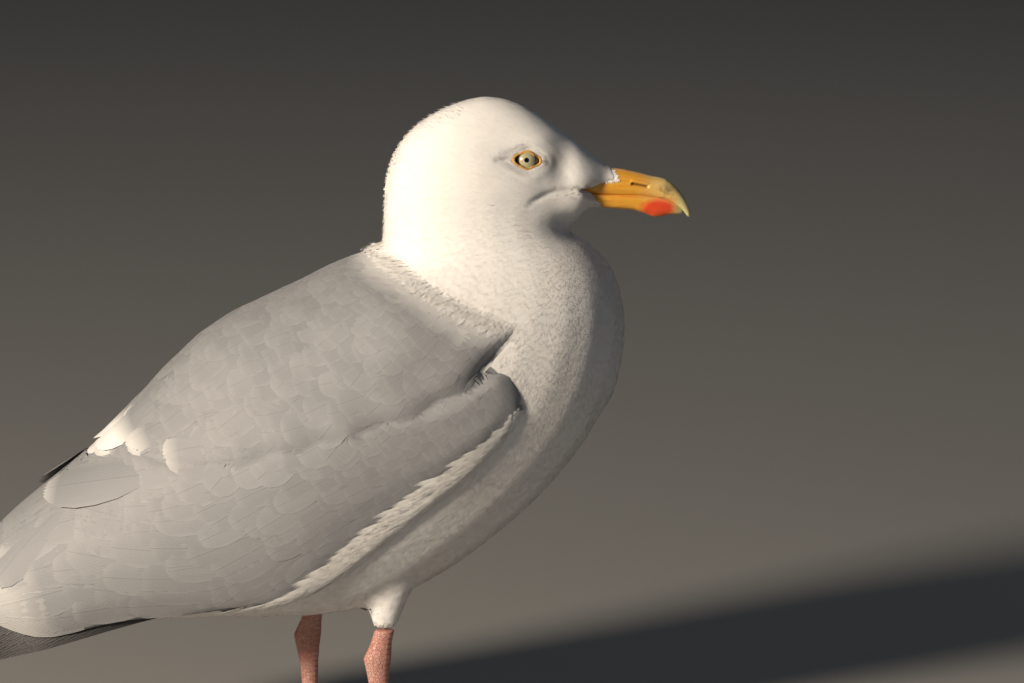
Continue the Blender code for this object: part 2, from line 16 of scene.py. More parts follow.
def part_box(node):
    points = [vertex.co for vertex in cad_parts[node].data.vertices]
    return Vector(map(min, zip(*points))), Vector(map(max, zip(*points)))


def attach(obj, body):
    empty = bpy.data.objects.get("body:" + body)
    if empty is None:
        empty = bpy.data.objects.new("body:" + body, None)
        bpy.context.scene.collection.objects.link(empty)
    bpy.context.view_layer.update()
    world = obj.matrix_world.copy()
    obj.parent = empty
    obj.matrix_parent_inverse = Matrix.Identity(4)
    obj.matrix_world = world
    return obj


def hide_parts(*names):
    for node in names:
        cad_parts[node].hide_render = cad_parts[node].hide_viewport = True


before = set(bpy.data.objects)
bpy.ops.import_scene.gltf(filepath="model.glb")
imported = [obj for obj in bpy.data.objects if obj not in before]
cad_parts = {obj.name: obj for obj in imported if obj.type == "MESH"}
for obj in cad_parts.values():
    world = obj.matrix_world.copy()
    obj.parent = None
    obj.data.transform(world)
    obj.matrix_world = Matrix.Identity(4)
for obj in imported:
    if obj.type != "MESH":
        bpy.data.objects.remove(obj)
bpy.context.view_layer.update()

# ---------------------------------------------------------------------------
# Hide: one thin skin over the head, neck, trunk and thighs, to which all the plumage is fixed.
# A preparator draws it over a carved form; here the flesh solids are joined into one surface,
# the face is modelled in it, and it is drawn in by the depth of the plumage.
# ---------------------------------------------------------------------------
MM = 0.001
BILL_TIP_X = 146.0
stance_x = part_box("bill_upper")[1][0] - BILL_TIP_X * MM     # the point on the floor between the feet
HIDE_GRAIN = 1.9
EYE = np.array((61.2, 15.0, 312.0))                         # middle of an eyeball
EYE_RADIUS = 7.0
EYE_OPENING = (6.8, 4.1)                                    # half-length to the corners, half-height
EYE_OPENING_RISE = 0.9                                      # its middle above the ball's
EYE_SLANT = math.radians(-6.5)                              # the fore corner is the lower one
EYE_SIDE = 9.0                                              # what lies by the eyes lies further out than this
LID_THICKNESS = 0.5
LID_REACH = 2.3                                             # the lids' folds end this many rims out
FACE_FROM = (34.0, 268.0)                                   # the face lies ahead of this x and above this z
FACE_SIDE = (6.0, 9.0)                                      # |y| from the face's front to its side

# What is raised or sunk in the face: middle x, |y|, z, radii, height, all in millimetres
FACE_FORMS = {
    "hollow of the lores": ((79.5, 16.0, 307.5), (7.5, 9.0, 10.0), -3.4),
    "ridge over the gape": ((88.0, 10.5, 301.5), (10.0, 7.0, 3.6), 0.7),
    "brow": ((64.0, 17.5, 321.5), (11.0, 7.0, 3.6), 1.5),
    "groove behind the eye": ((47.0, 21.0, 313.4), (6.0, 6.0, 1.5), -0.4),
    "cheek": ((56.0, 20.5, 301.0), (14.0, 8.0, 5.5), 0.8),
    "bulge under the gape": ((75.5, 15.0, 288.0), (13.0, 9.0, 6.0), 1.7),
    "hollow under the fold": ((77.0, 12.0, 279.5), (9.0, 9.0, 4.2), -1.3),
    "hollow of the chin": ((93.0, 6.0, 282.0), (7.0, 7.0, 4.5), -0.8),
    "ear coverts": ((36.0, 23.0, 300.0), (13.0, 8.0, 12.0), 0.9),
}
GAPE_CREASE = (
    (88.0, 9.5, 296.4), (76.5, 14.5, 296.4), (70.0, 17.0, 295.1), (63.4, 19.5, 292.6), (58.6, 21.0, 289.6),
)
CREASE_DEPTH = 1.2
CREASE_WIDTH = 1.6
BROW_CREASE_DEPTH = 0.8
BROW_CREASE_WIDTH = 0.9
BROW_CREASE = ((53.5, 20.5, 312.9), (49.5, 21.3, 313.5), (45.5, 21.8, 313.6))

# Edge of the feathers against the bill: height and how far forward they reach
BILL_FEATHER_EDGE = (
    (280.0, 104.0), (286.0, 101.0), (290.0, 96.5), (295.0, 88.4), (296.9, 88.4), (298.5, 98.0),
    (299.5, 108.3), (303.0, 106.8), (308.0, 104.5),
)
BILL_BASE = (86.0, 279.0)                                   # the bill lies ahead of this x and above this z
PLUG_END = (120.0, 294.0)                                   # x and z of the end of the hide's plug in it
PLUG_SHARE = 0.35                                           # how thin the plug is beside the bill


def metres(points):
    """Points in millimetres from between the feet, as places in the scene."""
    return np.asarray(points, dtype=float) * MM + np.array((stance_x, 0.0, 0.0))


def millimetres(points):
    return (np.asarray(points) - np.array((stance_x, 0.0, 0.0))) / MM


def read(mesh, what, size=3):
    """All of a mesh's positions, normals or the ends of its edges, one row each."""
    source = {"position": ("vertices", "co"), "normal": ("vertices", "normal"), "edge": ("edges", "vertices")}
    where, name = source[what]
    values = np.empty(len(getattr(mesh, where)) * size, dtype=np.int64 if what == "edge" else float)
    getattr(mesh, where).foreach_get(name, values)
    return values.reshape(-1, size)


def move_to(mesh, points):
    mesh.vertices.foreach_set("co", np.asarray(points, dtype=float).reshape(-1))
    mesh.update()


def new_piece(name, mesh):
    piece = bpy.data.objects.new(name, mesh)
    bpy.context.scene.collection.objects.link(piece)
    return piece


def mesh_of(name, work):
    """The worked form as a mesh of this name."""
    mesh = bpy.data.meshes.new(name)
    work.to_mesh(mesh)
    work.free()
    return mesh


def keep_result(piece):
    """Makes what the modifiers give into the piece's own plain mesh."""
    evaluated = piece.evaluated_get(bpy.context.evaluated_depsgraph_get())
    mesh = bpy.data.meshes.new_from_object(evaluated)
    piece.modifiers.clear()
    old = piece.data
    piece.data = mesh
    bpy.data.meshes.remove(old)
    mesh.name = piece.name
    return piece


def joined_form(name, nodes, grain):
    """The named solids as one closed surface of even grain, which closes the thin cuts between them."""
    solids = bmesh.new()
    for node in nodes:
        solids.from_mesh(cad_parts[node].data)
    bmesh.ops.remove_doubles(solids, verts=solids.verts, dist=0.01 * MM)
    piece = new_piece(name, mesh_of(name, solids))
    remesh = piece.modifiers.new("one surface", "REMESH")
    remesh.mode = "VOXEL"
    remesh.voxel_size = grain * MM
    return keep_result(piece)


def keep_largest_shell(mesh):
    work = bmesh.new()
    work.from_mesh(mesh)
    left = set(work.verts)
    shells = []
    while left:
        front = [left.pop()]
        shell = list(front)
        while front:
            for edge in front.pop().link_edges:
                for vertex in edge.verts:
                    if vertex in left:
                        left.discard(vertex)
                        front.append(vertex)
                        shell.append(vertex)
        shells.append(shell)
    shells.sort(key=len)
    for shell in shells[:-1]:
        bmesh.ops.delete(work, geom=shell, context="VERTS")
    work.to_mesh(mesh)
    work.free()


def spread(edges, values, rounds, share=0.5):
    """Evens out values over neighbouring vertices; share may differ from vertex to vertex."""
    values = np.array(values, dtype=float)
    flat = values.reshape(len(values), -1)
    count = np.bincount(edges.reshape(-1), minlength=len(flat)).clip(1)
    part = np.broadcast_to(np.reshape(share, (-1, 1)), (len(flat), 1))
    for _ in range(rounds):
        for column in flat.T:
            total = np.bincount(edges[:, 0], column[edges[:, 1]], len(flat))
            total += np.bincount(edges[:, 1], column[edges[:, 0]], len(flat))
            column += (total / count - column) * part[:, 0]
    return flat.reshape(values.shape)


def relax(mesh, rounds, share=0.5):
    move_to(mesh, spread(read(mesh, "edge", 2), read(mesh, "position"), rounds, share))


def refine(mesh, wanted):
    """Cuts each face that wanted() picks by its middle, in millimetres, into four."""
    work = bmesh.new()
    work.from_mesh(mesh)
    picked = wanted(millimetres([face.calc_center_median() for face in work.faces]))
    edges = {edge for face, pick in zip(work.faces, picked) if pick for edge in face.edges}
    bmesh.ops.subdivide_edges(work, edges=list(edges), cuts=1, use_grid_fill=True)
    work.to_mesh(mesh)
    work.free()


def smooth_step(value, start=0.0, end=1.0):
    share = np.clip((value - start) / (end - start), 0.0, 1.0)
    return share * share * (3.0 - 2.0 * share)


def unit(vectors):
    return vectors / np.maximum(np.linalg.norm(vectors, axis=-1, keepdims=True), 1e-9)


def beside_path(points, path):
    """Each point's distance to a line through the path's points and the share of the way along it, as
    seen from the bird's side."""
    points = np.asarray(points) * (1.0, 0.0, 1.0)
    path = np.array(path) * (1.0, 0.0, 1.0)
    best = np.full(len(points), np.inf)
    along = np.zeros(len(points))
    for number, (start, end) in enumerate(zip(path, path[1:])):
        step = end - start
        share = np.clip((points - start) @ step / (step @ step), 0.0, 1.0)
        distance = np.linalg.norm(points - start - share[:, None] * step, axis=1)
        nearer = distance < best
        best[nearer] = distance[nearer]
        along[nearer] = (number + share[nearer]) / (len(path) - 1)
    return best, along


def opening_rim(corner):
    """How far the opening's rim lies from its middle; corner is 1 towards its corners, 0 above and below."""
    long, high = EYE_OPENING
    return high + (long - high) * corner ** 7


def on_eye(points):
    """Where points lie on an eye, as seen from its side: forward and up from its middle, and how many
    times further out than the opening's rim."""
    forward = points[:, 0] - EYE[0]
    up = points[:, 2] - EYE[2] - EYE_OPENING_RISE
    turned_forward = forward * math.cos(EYE_SLANT) + up * math.sin(EYE_SLANT)
    turned_up = -forward * math.sin(EYE_SLANT) + up * math.cos(EYE_SLANT)
    reach = np.hypot(turned_forward, turned_up)
    corner = np.abs(turned_forward) / np.maximum(reach, 1e-6)
    return turned_forward, turned_up, reach / opening_rim(corner)


def mirrored_to_left(points):
    return points * (1.0, 0.0, 1.0) + np.abs(points) * (0.0, 1.0, 0.0)


def in_face(middles):
    return (middles[:, 0] > FACE_FROM[0]) & (middles[:, 2] > FACE_FROM[1])


def near_eye_or_gape(middles):
    _, _, out = on_eye(middles)
    beside = np.abs(middles[:, 1]) > 8.0
    return beside & ((out < LID_REACH) | (beside_path(middles, GAPE_CREASE)[0] < 3.2))


def feather_edge_x(z):
    heights, reaches = zip(*BILL_FEATHER_EDGE)
    return np.interp(z, heights, reaches)


def model_face(mesh):
    """Raises and sinks the face's forms, opens the lids on the eyeballs and tucks the bill's place in."""
    points = millimetres(read(mesh, "position"))
    normals = read(mesh, "normal")
    mirrored = mirrored_to_left(points)
    forward, up, out = on_eye(points)
    beside = (mirrored[:, 1] > EYE_SIDE) & (out < 3.2)
    ball = EYE[1] + np.sqrt(np.maximum(EYE_RADIUS ** 2 - forward ** 2 - (up + EYE_OPENING_RISE) ** 2, 9.0))
    terms = np.stack((out * 0.0 + 1.0, forward, up, forward ** 2, forward * up, up ** 2), 1)
    round_eye = beside & (out > LID_REACH)
    head = terms @ np.linalg.lstsq(terms[round_eye], mirrored[round_eye, 1], rcond=None)[0]
    head += (mirrored[:, 1] - head) * smooth_step(out, 2.2, 3.1)
    lid = np.maximum(ball + LID_THICKNESS, head - 0.8)
    lid += (ball - LID_THICKNESS - lid) * smooth_step(1.10 - out, 0.0, 0.08)
    lidded = lid + (head - lid) * smooth_step(out, 1.15, LID_REACH)
    points[beside, 1] = (np.sign(points[:, 1]) * lidded)[beside]
    clear_of_eye = np.where(beside, smooth_step(out, 1.15, 1.7), 1.0)

    rise = np.zeros(len(points))
    for middle, radii, height in FACE_FORMS.values():
        rise += height * np.exp(-(((mirrored - middle) / radii) ** 2).sum(axis=1))
    to_side = smooth_step(mirrored[:, 1], *FACE_SIDE)
    distance, along = beside_path(points, GAPE_CREASE)
    fading = 1.0 - smooth_step(along, 0.55, 1.0)
    rise -= CREASE_DEPTH * np.exp(-((distance / CREASE_WIDTH) ** 2)) * fading * to_side
    distance, _ = beside_path(points, BROW_CREASE)
    rise -= BROW_CREASE_DEPTH * np.exp(-((distance / BROW_CREASE_WIDTH) ** 2)) * to_side
    behind_edge = feather_edge_x(points[:, 2]) - points[:, 0]
    by_bill = smooth_step(points[:, 0], 82.0, 89.0) * (points[:, 2] > BILL_BASE[1])
    rise += 0.5 * smooth_step(behind_edge, -0.8, 0.8) * by_bill
    points += normals * (rise * clear_of_eye)[:, None]

    ahead = smooth_step(points[:, 0] - feather_edge_x(points[:, 2]), 0.0, 3.0)
    plug_height = PLUG_END[1] + (points[:, 2] - PLUG_END[1]) * PLUG_SHARE
    plug = np.stack((np.minimum(points[:, 0], PLUG_END[0]), points[:, 1] * PLUG_SHARE, plug_height), 1)
    in_bill = (points[:, 0] > BILL_BASE[0]) & (points[:, 2] > BILL_BASE[1])
    points += (plug - points) * (ahead * in_bill)[:, None]
    move_to(mesh, metres(points))


hide = joined_form(
    "hide",
    ("head", "neck", "trunk", "thigh_right", "thigh_left", "eye_right", "eye_left", "bill_upper",
     "bill_lower"),
    HIDE_GRAIN,
)
keep_largest_shell(hide.data)
relax(hide.data, 7)
for zone in (in_face, near_eye_or_gape):
    refine(hide.data, zone)
    relax(hide.data, 3)
model_face(hide.data)

# The plumage's lie: away from the bill over the head, down the neck and round the body to the tail
LIE_ROUNDS = 60
COAT_DEPTH = ((0.0, 0.5), (25.0, 0.9), (60.0, 1.5), (110.0, 2.2), (400.0, 2.8))     # by reach from the bill


def reach_from_bill(mesh):
    """Each vertex's shortest way over the hide from the bill's feather edge, in millimetres."""
    points = millimetres(read(mesh, "position"))
    edges = read(mesh, "edge", 2)
    lengths = np.linalg.norm(points[edges[:, 0]] - points[edges[:, 1]], axis=1)
    beside = [[] for _ in points]
    for (a, b), length in zip(edges.tolist(), lengths.tolist()):
        beside[a].append((b, length))
        beside[b].append((a, length))
    reach = np.full(len(points), np.inf)
    at_bill = (points[:, 0] > feather_edge_x(points[:, 2]) - 1.0) & (points[:, 2] > BILL_BASE[1])
    at_bill = np.flatnonzero(at_bill)
    reach[at_bill] = 0.0
    waiting = [(0.0, int(vertex)) for vertex in at_bill]
    heapq.heapify(waiting)
    while waiting:
        so_far, vertex = heapq.heappop(waiting)
        if so_far > reach[vertex]:
            continue
        for other, length in beside[vertex]:
            if so_far + length < reach[other]:
                reach[other] = so_far + length
                heapq.heappush(waiting, (so_far + length, other))
    return reach


def slope(mesh, values):
    """The heading in which values grow fastest over the surface."""
    points = read(mesh, "position")
    edges = read(mesh, "edge", 2)
    step = points[edges[:, 1]] - points[edges[:, 0]]
    rise = (values[edges[:, 1]] - values[edges[:, 0]]) / (step ** 2).sum(axis=1)
    total = np.zeros_like(points)
    for end in (0, 1):
        for axis in range(3):
            total[:, axis] += np.bincount(edges[:, end], step[:, axis] * rise, len(points))
    return unit(total)


def keep_values(mesh, name, values, kind="FLOAT"):
    """Stores one value for each vertex under a name that nodes can read."""
    attribute = mesh.attributes.new(name, kind, "POINT")
    field = "value" if kind == "FLOAT" else "vector"
    attribute.data.foreach_set(field, np.asarray(values, dtype=float).reshape(-1))


def unwrap(piece):
    """Lays the piece's own shape out flat, as the map OFBake."""
    piece.data.uv_layers.new(name="OFBake")
    bpy.ops.object.select_all(action="DESELECT")
    piece.select_set(True)
    bpy.context.view_layer.objects.active = piece
    bpy.ops.object.mode_set(mode="EDIT")
    bpy.ops.mesh.select_all(action="SELECT")
    bpy.ops.uv.smart_project(angle_limit=math.radians(66.0), island_margin=0.004)
    bpy.ops.object.mode_set(mode="OBJECT")


def feed(tree, socket, value):
    """Links a socket to another node's output, or sets it to a plain value."""
    if isinstance(value, bpy.types.NodeSocket):
        tree.links.new(value, socket)
    elif value is not None:
        socket.default_value = value


def add_node(tree, kind, settings=(), **inputs):
    """A node with its settings made and its inputs linked or set. An input is called as on the node,
    with _ for a space, or in_ and its number where two share a name."""
    node = tree.nodes.new(kind)
    for name, value in dict(settings).items():
        setattr(node, name, value)
    for name, value in inputs.items():
        socket = int(name[3:]) if name.startswith("in_") else name.replace("_", " ").strip()
        feed(tree, node.inputs[socket], value)
    return node


def calc(tree, operation, *values):
    inputs = {f"in_{number}": value for number, value in enumerate(values)}
    return add_node(tree, "ShaderNodeMath", {"operation": operation}, **inputs).outputs[0]


def named_value(tree, name, output="Fac"):
    return add_node(tree, "ShaderNodeAttribute", {"attribute_name": name}).outputs[output]


def mixed(tree, share, first, second, blend="MIX"):
    """A colour between two colours."""
    node = add_node(tree, "ShaderNodeMix", {"data_type": "RGBA", "blend_type": blend})
    for number, value in ((0, share), (6, first), (7, second)):
        feed(tree, node.inputs[number], value)
    return node.outputs[2]


def ramp(tree, value, *stops):
    """A share of 0 to 1 that changes with value; each stop is (position, share)."""
    node = add_node(tree, "ShaderNodeValToRGB", Fac=value)
    elements = node.color_ramp.elements
    while len(elements) < len(stops):
        elements.new(0.5)
    for element, (position, share) in zip(elements, stops):
        element.position = position
        element.color = (share, share, share, 1.0)
    return node.outputs["Color"]


def rising(tree, value, start, span):
    """0 where value is at start or below, 1 a span beyond it."""
    share = calc(tree, "DIVIDE", calc(tree, "SUBTRACT", value, start), span)
    return ramp(tree, share, (0.0, 0.0), (1.0, 1.0))


def noise(tree, place, scale, detail):
    return add_node(tree, "ShaderNodeTexNoise", Vector=place, Scale=scale, Detail=detail).outputs["Fac"]


def new_material(name):
    material = bpy.data.materials.new(name)
    material.use_nodes = True
    tree = material.node_tree
    return material, tree, tree.nodes["Principled BSDF"]


def own_place(tree):
    return add_node(tree, "ShaderNodeTexCoord").outputs["Object"]


def barbed_vane(tree, along_rate, across_rate, pace):
    """The way along a vane, the distance from its shaft and the ridges of its slanting barbs."""
    vane = add_node(tree, "ShaderNodeSeparateXYZ", Vector=named_value(tree, "vane", "Vector"))
    across = calc(tree, "ABSOLUTE", vane.outputs["X"])
    slant = calc(tree, "SUBTRACT", calc(tree, "MULTIPLY", vane.outputs["Y"], along_rate),
                 calc(tree, "MULTIPLY", across, across_rate))
    return vane.outputs["Y"], across, calc(tree, "SINE", calc(tree, "MULTIPLY", slant, pace))


def finish_surface(tree, shader, colour, relief, strength, depth, roughness, **others):
    """Gives the shader its colour, a relief of this strength and depth, its roughness and what else
    is named, with _ for a space."""
    bump = add_node(tree, "ShaderNodeBump", Strength=strength, Distance=depth, Height=relief)
    for name, value in (("Base Color", colour), ("Normal", bump.outputs["Normal"]), ("Roughness", roughness)):
        tree.links.new(value, shader.inputs[name])
    for name, value in others.items():
        shader.inputs[name.replace("_", " ")].default_value = value


WHITE_FEATHER = (0.86, 0.85, 0.83, 1.0)
CREAM_FEATHER = (0.84, 0.81, 0.75, 1.0)
# painted shade of the face's hollows and creases, also its dusky marks by the eyes
FACE_PAINTED_SHADE_AND_MARKS = (0.10, 0.065, 0.04, 1.0)
GREY_FEATHER = (0.29, 0.293, 0.30, 1.0)


def white_plumage():
    """Matt white vanes with fine barbs, a little creamier here and there, and darker in the face by its
    painted shade and dusky marks.
    """
    material, tree, shader = new_material("white plumage")
    place = own_place(tree)
    cream = calc(tree, "MULTIPLY", ramp(tree, noise(tree, place, 34.0, 3.0), (0.42, 0.0), (0.72, 1.0)), 0.5)
    colour = mixed(tree, cream, WHITE_FEATHER, CREAM_FEATHER)
    tone = calc(tree, "MULTIPLY_ADD", named_value(tree, "tuft_tone"), 0.10, 0.93)
    colour = mixed(tree, 1.0, colour, tone, "MULTIPLY")
    scattered = calc(tree, "MULTIPLY_ADD", calc(tree, "SUBTRACT", named_value(tree, "tuft_tone"), 0.5), 0.5,
                     named_value(tree, "greyed"))
    colour = mixed(tree, ramp(tree, scattered, (0.25, 0.0), (0.85, 1.0)), colour, GREY_FEATHER)
    # painted shade in the face's hollows and creases, with its dusky marks by the eyes
    colour = mixed(tree, named_value(tree, "smudge"), colour, FACE_PAINTED_SHADE_AND_MARKS)
    _, _, barbs = barbed_vane(tree, 26.0, 34.0, 2.0)
    down = noise(tree, place, 1500.0, 2.0)
    finish_surface(tree, shader, colour, calc(tree, "MULTIPLY_ADD", barbs, 0.18, down), 0.14, 0.0003,
                   calc(tree, "MULTIPLY_ADD", down, 0.2, 0.62),
                   Sheen_Weight=0.15, Sheen_Roughness=0.5)
    return material


reach = reach_from_bill(hide.data)
hide_edges = read(hide.data, "edge", 2)
reach = spread(hide_edges, reach, 25)
lie = slope(hide.data, reach)
lie = unit(spread(hide_edges, lie, LIE_ROUNDS))
outward = unit(spread(hide_edges, read(hide.data, "normal"), 4))
lie = unit(lie - outward * (lie * outward).sum(axis=1, keepdims=True))

form = millimetres(read(hide.data, "position"))          # the plumage's outer surface
depth = np.interp(reach, *zip(*COAT_DEPTH))
_, _, lid_reach = on_eye(form)
by_eye = np.abs(form[:, 1]) > EYE_SIDE
depth *= np.where(by_eye, smooth_step(lid_reach, 1.1, 2.6), 1.0)
behind_edge = feather_edge_x(form[:, 2]) - form[:, 0]
depth *= np.where(form[:, 0] > BILL_BASE[0], smooth_step(behind_edge, -1.0, 7.0), 1.0)
move_to(hide.data, metres(form - outward * depth[:, None]))
relax(hide.data, 2, 0.3)

# Darkening painted into the face: dusky at the eye's fore corner and on the lids' inner rims, and painted
# shade along the crease behind the eye, in the hollow of the lores and faintly in the gape's crease
EYE_FORE_CORNER = (69.8, 19.5, 311.3)
LORES_SHADE = (77.6, 15.0, 310.2)
mirrored_form = mirrored_to_left(form)
smudge = 0.7 * np.exp(-(((mirrored_form - EYE_FORE_CORNER) / (1.2, 4.0, 0.8)) ** 2).sum(axis=1))
behind_eye, along = beside_path(form, BROW_CREASE)
# painted shade along the crease behind the eye
smudge += 0.4 * np.exp(-((behind_eye / 0.8) ** 2)) * (1.0 - 0.7 * along)
in_crease, along = beside_path(form, GAPE_CREASE)
# painted shade in the hollow of the lores
smudge += 0.45 * np.exp(-(((mirrored_form - LORES_SHADE) / (5.0, 9.0, 6.0)) ** 2).sum(axis=1))
# faint painted shade in the gape's crease
smudge += 0.12 * np.exp(-((in_crease / 0.8) ** 2)) * (1.0 - smooth_step(along, 0.45, 1.0))
smudge *= smooth_step(mirrored_form[:, 1], *FACE_SIDE)
smudge[by_eye & (lid_reach < 1.12)] = 1.0
keep_values(hide.data, "smudge", smudge.clip(0.0, 1.0))
keep_values(hide.data, "tuft_tone", np.full(len(form), 0.4))
keep_values(hide.data, "outward", outward, "FLOAT_VECTOR")
unwrap(hide)
white = white_plumage()
hide.data.materials.append(white)
hide.data.shade_smooth()

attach(hide, "root")
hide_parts("head", "neck", "trunk", "thigh_right", "thigh_left")

# ---------------------------------------------------------------------------
# Eyes: glass eyes with a pale, faintly flecked iris and a small pupil, set in the lids. Round each
# runs the bare orbital ring, a narrow yellow-orange welt of skin with a corner fore and aft.
# ---------------------------------------------------------------------------
SIDES = (("right", -1.0), ("left", 1.0))
GAZE_RISE = math.radians(9.0)
GAZE_BACK = 0.06                    # how little the eyes look backwards
IRIS_RADIUS = 5.0
PUPIL_RADIUS = 1.15
CORNEA_RISE = 0.35
RING_TURNS = 96
RING_SECTION = 10
RING_WIDTH = 0.72                   # half of it
RING_HEIGHT = 0.6


def cast_form(mesh):
    """A mesh as something to cast rays on."""
    places = [vertex.co.copy() for vertex in mesh.vertices]
    return BVHTree.FromPolygons(places, [tuple(polygon.vertices) for polygon in mesh.polygons])


def gaze(side):
    return Vector((-GAZE_BACK, side * math.cos(GAZE_RISE), math.sin(GAZE_RISE))).normalized()


def add_eyeball(side_name, side):
    """A ball with the cornea standing a little proud, turned so that its pole is the pupil."""
    ball = bmesh.new()
    bmesh.ops.create_uvsphere(ball, u_segments=64, v_segments=40, radius=EYE_RADIUS * MM)
    for vertex in ball.verts:
        from_pole = math.hypot(vertex.co.x, vertex.co.y) / MM
        if vertex.co.z > 0.0:
            dome = max(0.0, 1.0 - (from_pole / (IRIS_RADIUS + 0.4)) ** 2)
            vertex.co.z += CORNEA_RISE * MM * dome
    turn = gaze(side).to_track_quat("Z", "Y")
    centre = Vector(metres((EYE[0], side * EYE[1], EYE[2])))
    mesh = mesh_of(f"eyeball_{side_name}", ball)
    places = read(mesh, "position") / MM
    from_pupil = np.where(places[:, 2] > 0, np.hypot(places[:, 0], places[:, 1]), EYE_RADIUS)
    keep_values(mesh, "from_pupil", from_pupil)
    keep_values(mesh, "round_pupil", places, "FLOAT_VECTOR")
    mesh.transform(turn.to_matrix().to_4x4())
    mesh.transform(Matrix.Translation(centre))
    mesh.shade_smooth()
    return new_piece(f"eyeball_{side_name}", mesh)


def eye_glass():
    """Pupil, pale iris flecked along its rays, and the dark line where it meets the white."""
    material, tree, shader = new_material("gull eye")
    out = named_value(tree, "from_pupil")
    round_pupil = named_value(tree, "round_pupil", "Vector")
    rays = noise(tree, round_pupil, 1.6, 4.0)
    flecks = add_node(tree, "ShaderNodeTexVoronoi", Vector=round_pupil, Scale=3.2).outputs["Distance"]
    flecks = calc(tree, "MULTIPLY", ramp(tree, flecks, (0.0, 1.0), (0.3, 0.0)), 0.35)
    iris = mixed(tree, rays, (0.60, 0.55, 0.33, 1.0), (0.34, 0.31, 0.20, 1.0))
    iris = mixed(tree, flecks, iris, (0.28, 0.22, 0.13, 1.0))
    share = calc(tree, "DIVIDE", out, EYE_RADIUS)
    pupil_edge = PUPIL_RADIUS / EYE_RADIUS
    in_pupil = ramp(tree, share, (0.0, 1.0), (pupil_edge, 1.0), (pupil_edge + 0.03, 0.0))
    by_pupil = ramp(tree, share, (pupil_edge, 1.0), (pupil_edge + 0.12, 0.0))
    iris = mixed(tree, calc(tree, "MULTIPLY", by_pupil, 0.5), iris, (0.50, 0.52, 0.42, 1.0))
    rim = IRIS_RADIUS / EYE_RADIUS
    at_rim = ramp(tree, share, (rim - 0.10, 0.0), (rim - 0.02, 1.0))
    colour = mixed(tree, in_pupil, iris, (0.004, 0.004, 0.005, 1.0))
    colour = mixed(tree, at_rim, colour, (0.075, 0.038, 0.014, 1.0))
    finish_surface(tree, shader, colour, rays, 0.12, 0.0002, calc(tree, "MULTIPLY_ADD", rays, 0.08, 0.10),
                   Coat_Weight=1.0, Coat_Roughness=0.02)
    return material


def lid_place(turn, out):
    """Where a point lies by an eye as seen from the side: at this turn round the opening, out times
    its rim."""
    rim = opening_rim(abs(math.cos(turn))) * out
    forward = rim * math.cos(turn)
    up = rim * math.sin(turn)
    x = EYE[0] + forward * math.cos(EYE_SLANT) - up * math.sin(EYE_SLANT)
    z = EYE[2] + EYE_OPENING_RISE + forward * math.sin(EYE_SLANT) + up * math.cos(EYE_SLANT)
    return x, z


def lid_point(side, turn, out, rise):
    """A point on the lid's margin, rise above the ball or the skin beside it, whichever stands higher."""
    x, z = lid_place(turn, out)
    skin_x, skin_z = lid_place(turn, 1.17)
    hit = hide_surface.ray_cast(Vector(metres((skin_x, side * 40.0, skin_z))), Vector((0.0, -side, 0.0)))
    ball = EYE[1] + math.sqrt(max(EYE_RADIUS ** 2 - (x - EYE[0]) ** 2 - (z - EYE[2]) ** 2, 0.0))
    return Vector(metres((x, side * (max(ball + 0.15, abs(hit[0].y) / MM - 0.1) + rise), z)))


def add_orbital_ring(side_name, side):
    """A welt that follows the opening, pinched at the corners."""
    work = bmesh.new()
    loops = []
    for step in range(RING_TURNS):
        turn = 2.0 * math.pi * step / RING_TURNS
        pinch = 1.0 - 0.35 * abs(math.cos(turn)) ** 8
        fold = 1.0 + 0.10 * math.sin(turn * 23.0) * math.sin(turn * 7.0)
        loop = []
        for part in range(RING_SECTION):
            angle = 2.0 * math.pi * part / RING_SECTION
            out = 1.04 + RING_WIDTH * pinch * math.cos(angle) / EYE_OPENING[1]
            rise = RING_HEIGHT * fold * math.sin(angle)
            loop.append(work.verts.new(lid_point(side, turn, out, rise)))
        loops.append(loop)
    for here, there in zip(loops, loops[1:] + loops[:1]):
        for part in range(RING_SECTION):
            after = (part + 1) % RING_SECTION
            work.faces.new((here[part], here[after], there[after], there[part]))
    bmesh.ops.recalc_face_normals(work, faces=work.faces)
    mesh = mesh_of(f"orbital_ring_{side_name}", work)
    mesh.shade_smooth()
    ring = new_piece(f"orbital_ring_{side_name}", mesh)
    smoother = ring.modifiers.new("rounded", "SUBSURF")
    smoother.levels = smoother.render_levels = 1
    return ring


def ring_skin():
    """Yellow-orange bare skin, browner in fine mottles."""
    material, tree, shader = new_material("orbital ring skin")
    place = own_place(tree)
    grain = noise(tree, place, 1400.0, 3.0)
    warts = add_node(tree, "ShaderNodeTexVoronoi", Vector=place, Scale=2200.0).outputs["Distance"]
    colour = mixed(tree, ramp(tree, grain, (0.35, 0.0), (0.7, 1.0)), (0.76, 0.47, 0.14, 1.0),
                   (0.50, 0.22, 0.05, 1.0))
    finish_surface(tree, shader, colour, warts, 0.5, 0.0002, calc(tree, "MULTIPLY_ADD", grain, 0.2, 0.35))
    return material


hide_surface = cast_form(hide.data)
eye_material = eye_glass()
ring_material = ring_skin()
for side_name, side in SIDES:
    eyeball = add_eyeball(side_name, side)
    eyeball.data.materials.append(eye_material)
    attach(eyeball, "root")
    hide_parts(f"eye_{side_name}")
    ring = add_orbital_ring(side_name, side)
    ring.data.materials.append(ring_material)
    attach(ring, "root")

